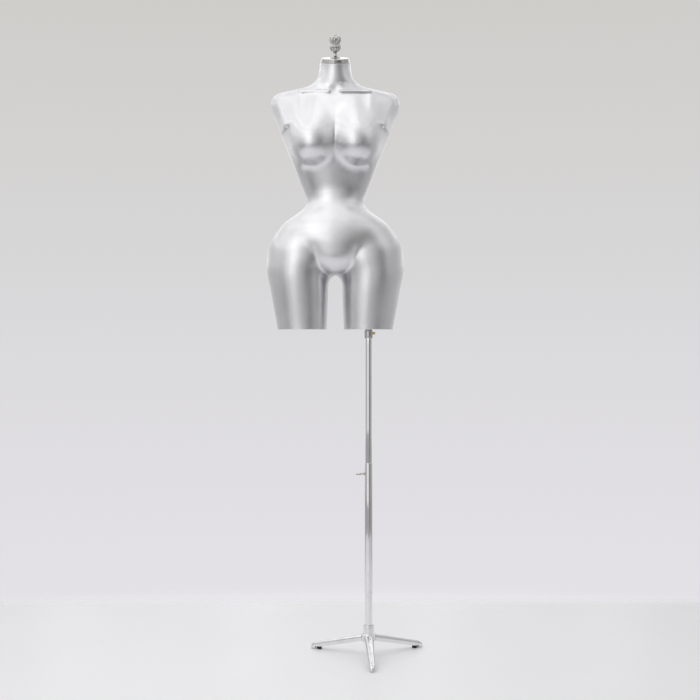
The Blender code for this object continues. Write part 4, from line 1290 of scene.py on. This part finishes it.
def studio_brightness(tree, x, y, z):
    """An even grey, dark in a gap between two panels in front at the right and low in front."""
    turn = maths_node(tree, "ARCTAN2", x, maths_node(tree, "MULTIPLY", y, -1.0))
    off = maths_node(tree, "ABSOLUTE", maths_node(tree, "SUBTRACT", turn, GAP_TURN))
    gap = ramp_node(tree, off, GAP_HALF, GAP_HALF + GAP_EDGE, 1.0, 0.0)
    gap = maths_node(tree, "MULTIPLY", gap, ramp_node(tree, z, 0.30, 0.55, 1.0, 0.0))
    front = ramp_node(tree, y, -0.35, -0.05, 1.0, 0.0)
    low = maths_node(tree, "MULTIPLY", front, ramp_node(tree, z, -0.30, -0.12, 1.0, 0.0))
    dark = maths_node(tree, "MAXIMUM", gap, low)
    taken = maths_node(tree, "MULTIPLY", dark, GAP_DEPTH * STUDIO_GREY)
    return maths_node(tree, "SUBTRACT", STUDIO_GREY, taken)


def backdrop_colour(tree, z):
    """The wall's soft gradient, and below the seam the floor's own tone."""
    rise = tree.nodes.new("ShaderNodeMapRange")
    rise.inputs["From Min"].default_value = SEAM_FALL - 0.012
    rise.inputs["From Max"].default_value = TOP_RISE
    tree.links.new(z, rise.inputs["Value"])
    ramp = tree.nodes.new("ShaderNodeValToRGB")
    while len(ramp.color_ramp.elements) < len(BACKDROP):
        ramp.color_ramp.elements.new(1.0)
    for stop, (place, colour) in zip(ramp.color_ramp.elements, BACKDROP):
        stop.position, stop.color = place, (*colour, 1)
    tree.links.new(rise.outputs["Result"], ramp.inputs["Fac"])
    return ramp.outputs["Color"]


def build_soft_boxes():
    """Rings of panels that cover the dome, each as bright as the soft lights make it there."""
    height = DOME_OVERLAP * DOME_R * math.radians(DOME_RISES.step)
    for rise in DOME_RISES:
        ring_r = DOME_R * math.cos(math.radians(rise))
        count = max(2, round(DOME_RING * ring_r / DOME_R))
        for i in range(count):
            way = dome_way(360 * i / count, rise)
            brightness = dome_brightness(way)
            if brightness > DIMMEST:
                soft_box(way, DOME_OVERLAP * 2 * math.pi * ring_r / count, height, brightness)


def build_world():
    """A soft backdrop for the camera, and the studio's greys for everything else."""
    world = bpy.data.worlds.new("studio")
    bpy.context.scene.world = world
    world.use_nodes = True
    tree = world.node_tree
    studio, backdrop = tree.nodes["Background"], tree.nodes.new("ShaderNodeBackground")
    direction = tree.nodes.new("ShaderNodeTexCoord")
    parts = tree.nodes.new("ShaderNodeSeparateXYZ")
    path, choice = tree.nodes.new("ShaderNodeLightPath"), tree.nodes.new("ShaderNodeMixShader")
    links = tree.links
    links.new(direction.outputs["Generated"], parts.inputs[0])
    links.new(studio_brightness(tree, *parts.outputs), studio.inputs["Color"])
    links.new(backdrop_colour(tree, parts.outputs["Z"]), backdrop.inputs["Color"])
    links.new(path.outputs["Is Camera Ray"], choice.inputs["Fac"])
    links.new(studio.outputs[0], choice.inputs[1])
    links.new(backdrop.outputs[0], choice.inputs[2])
    links.new(choice.outputs[0], tree.nodes["World Output"].inputs["Surface"])


build_floor()
build_camera()
build_soft_boxes()
build_world()
bpy.context.scene.view_settings.view_transform = "Standard"
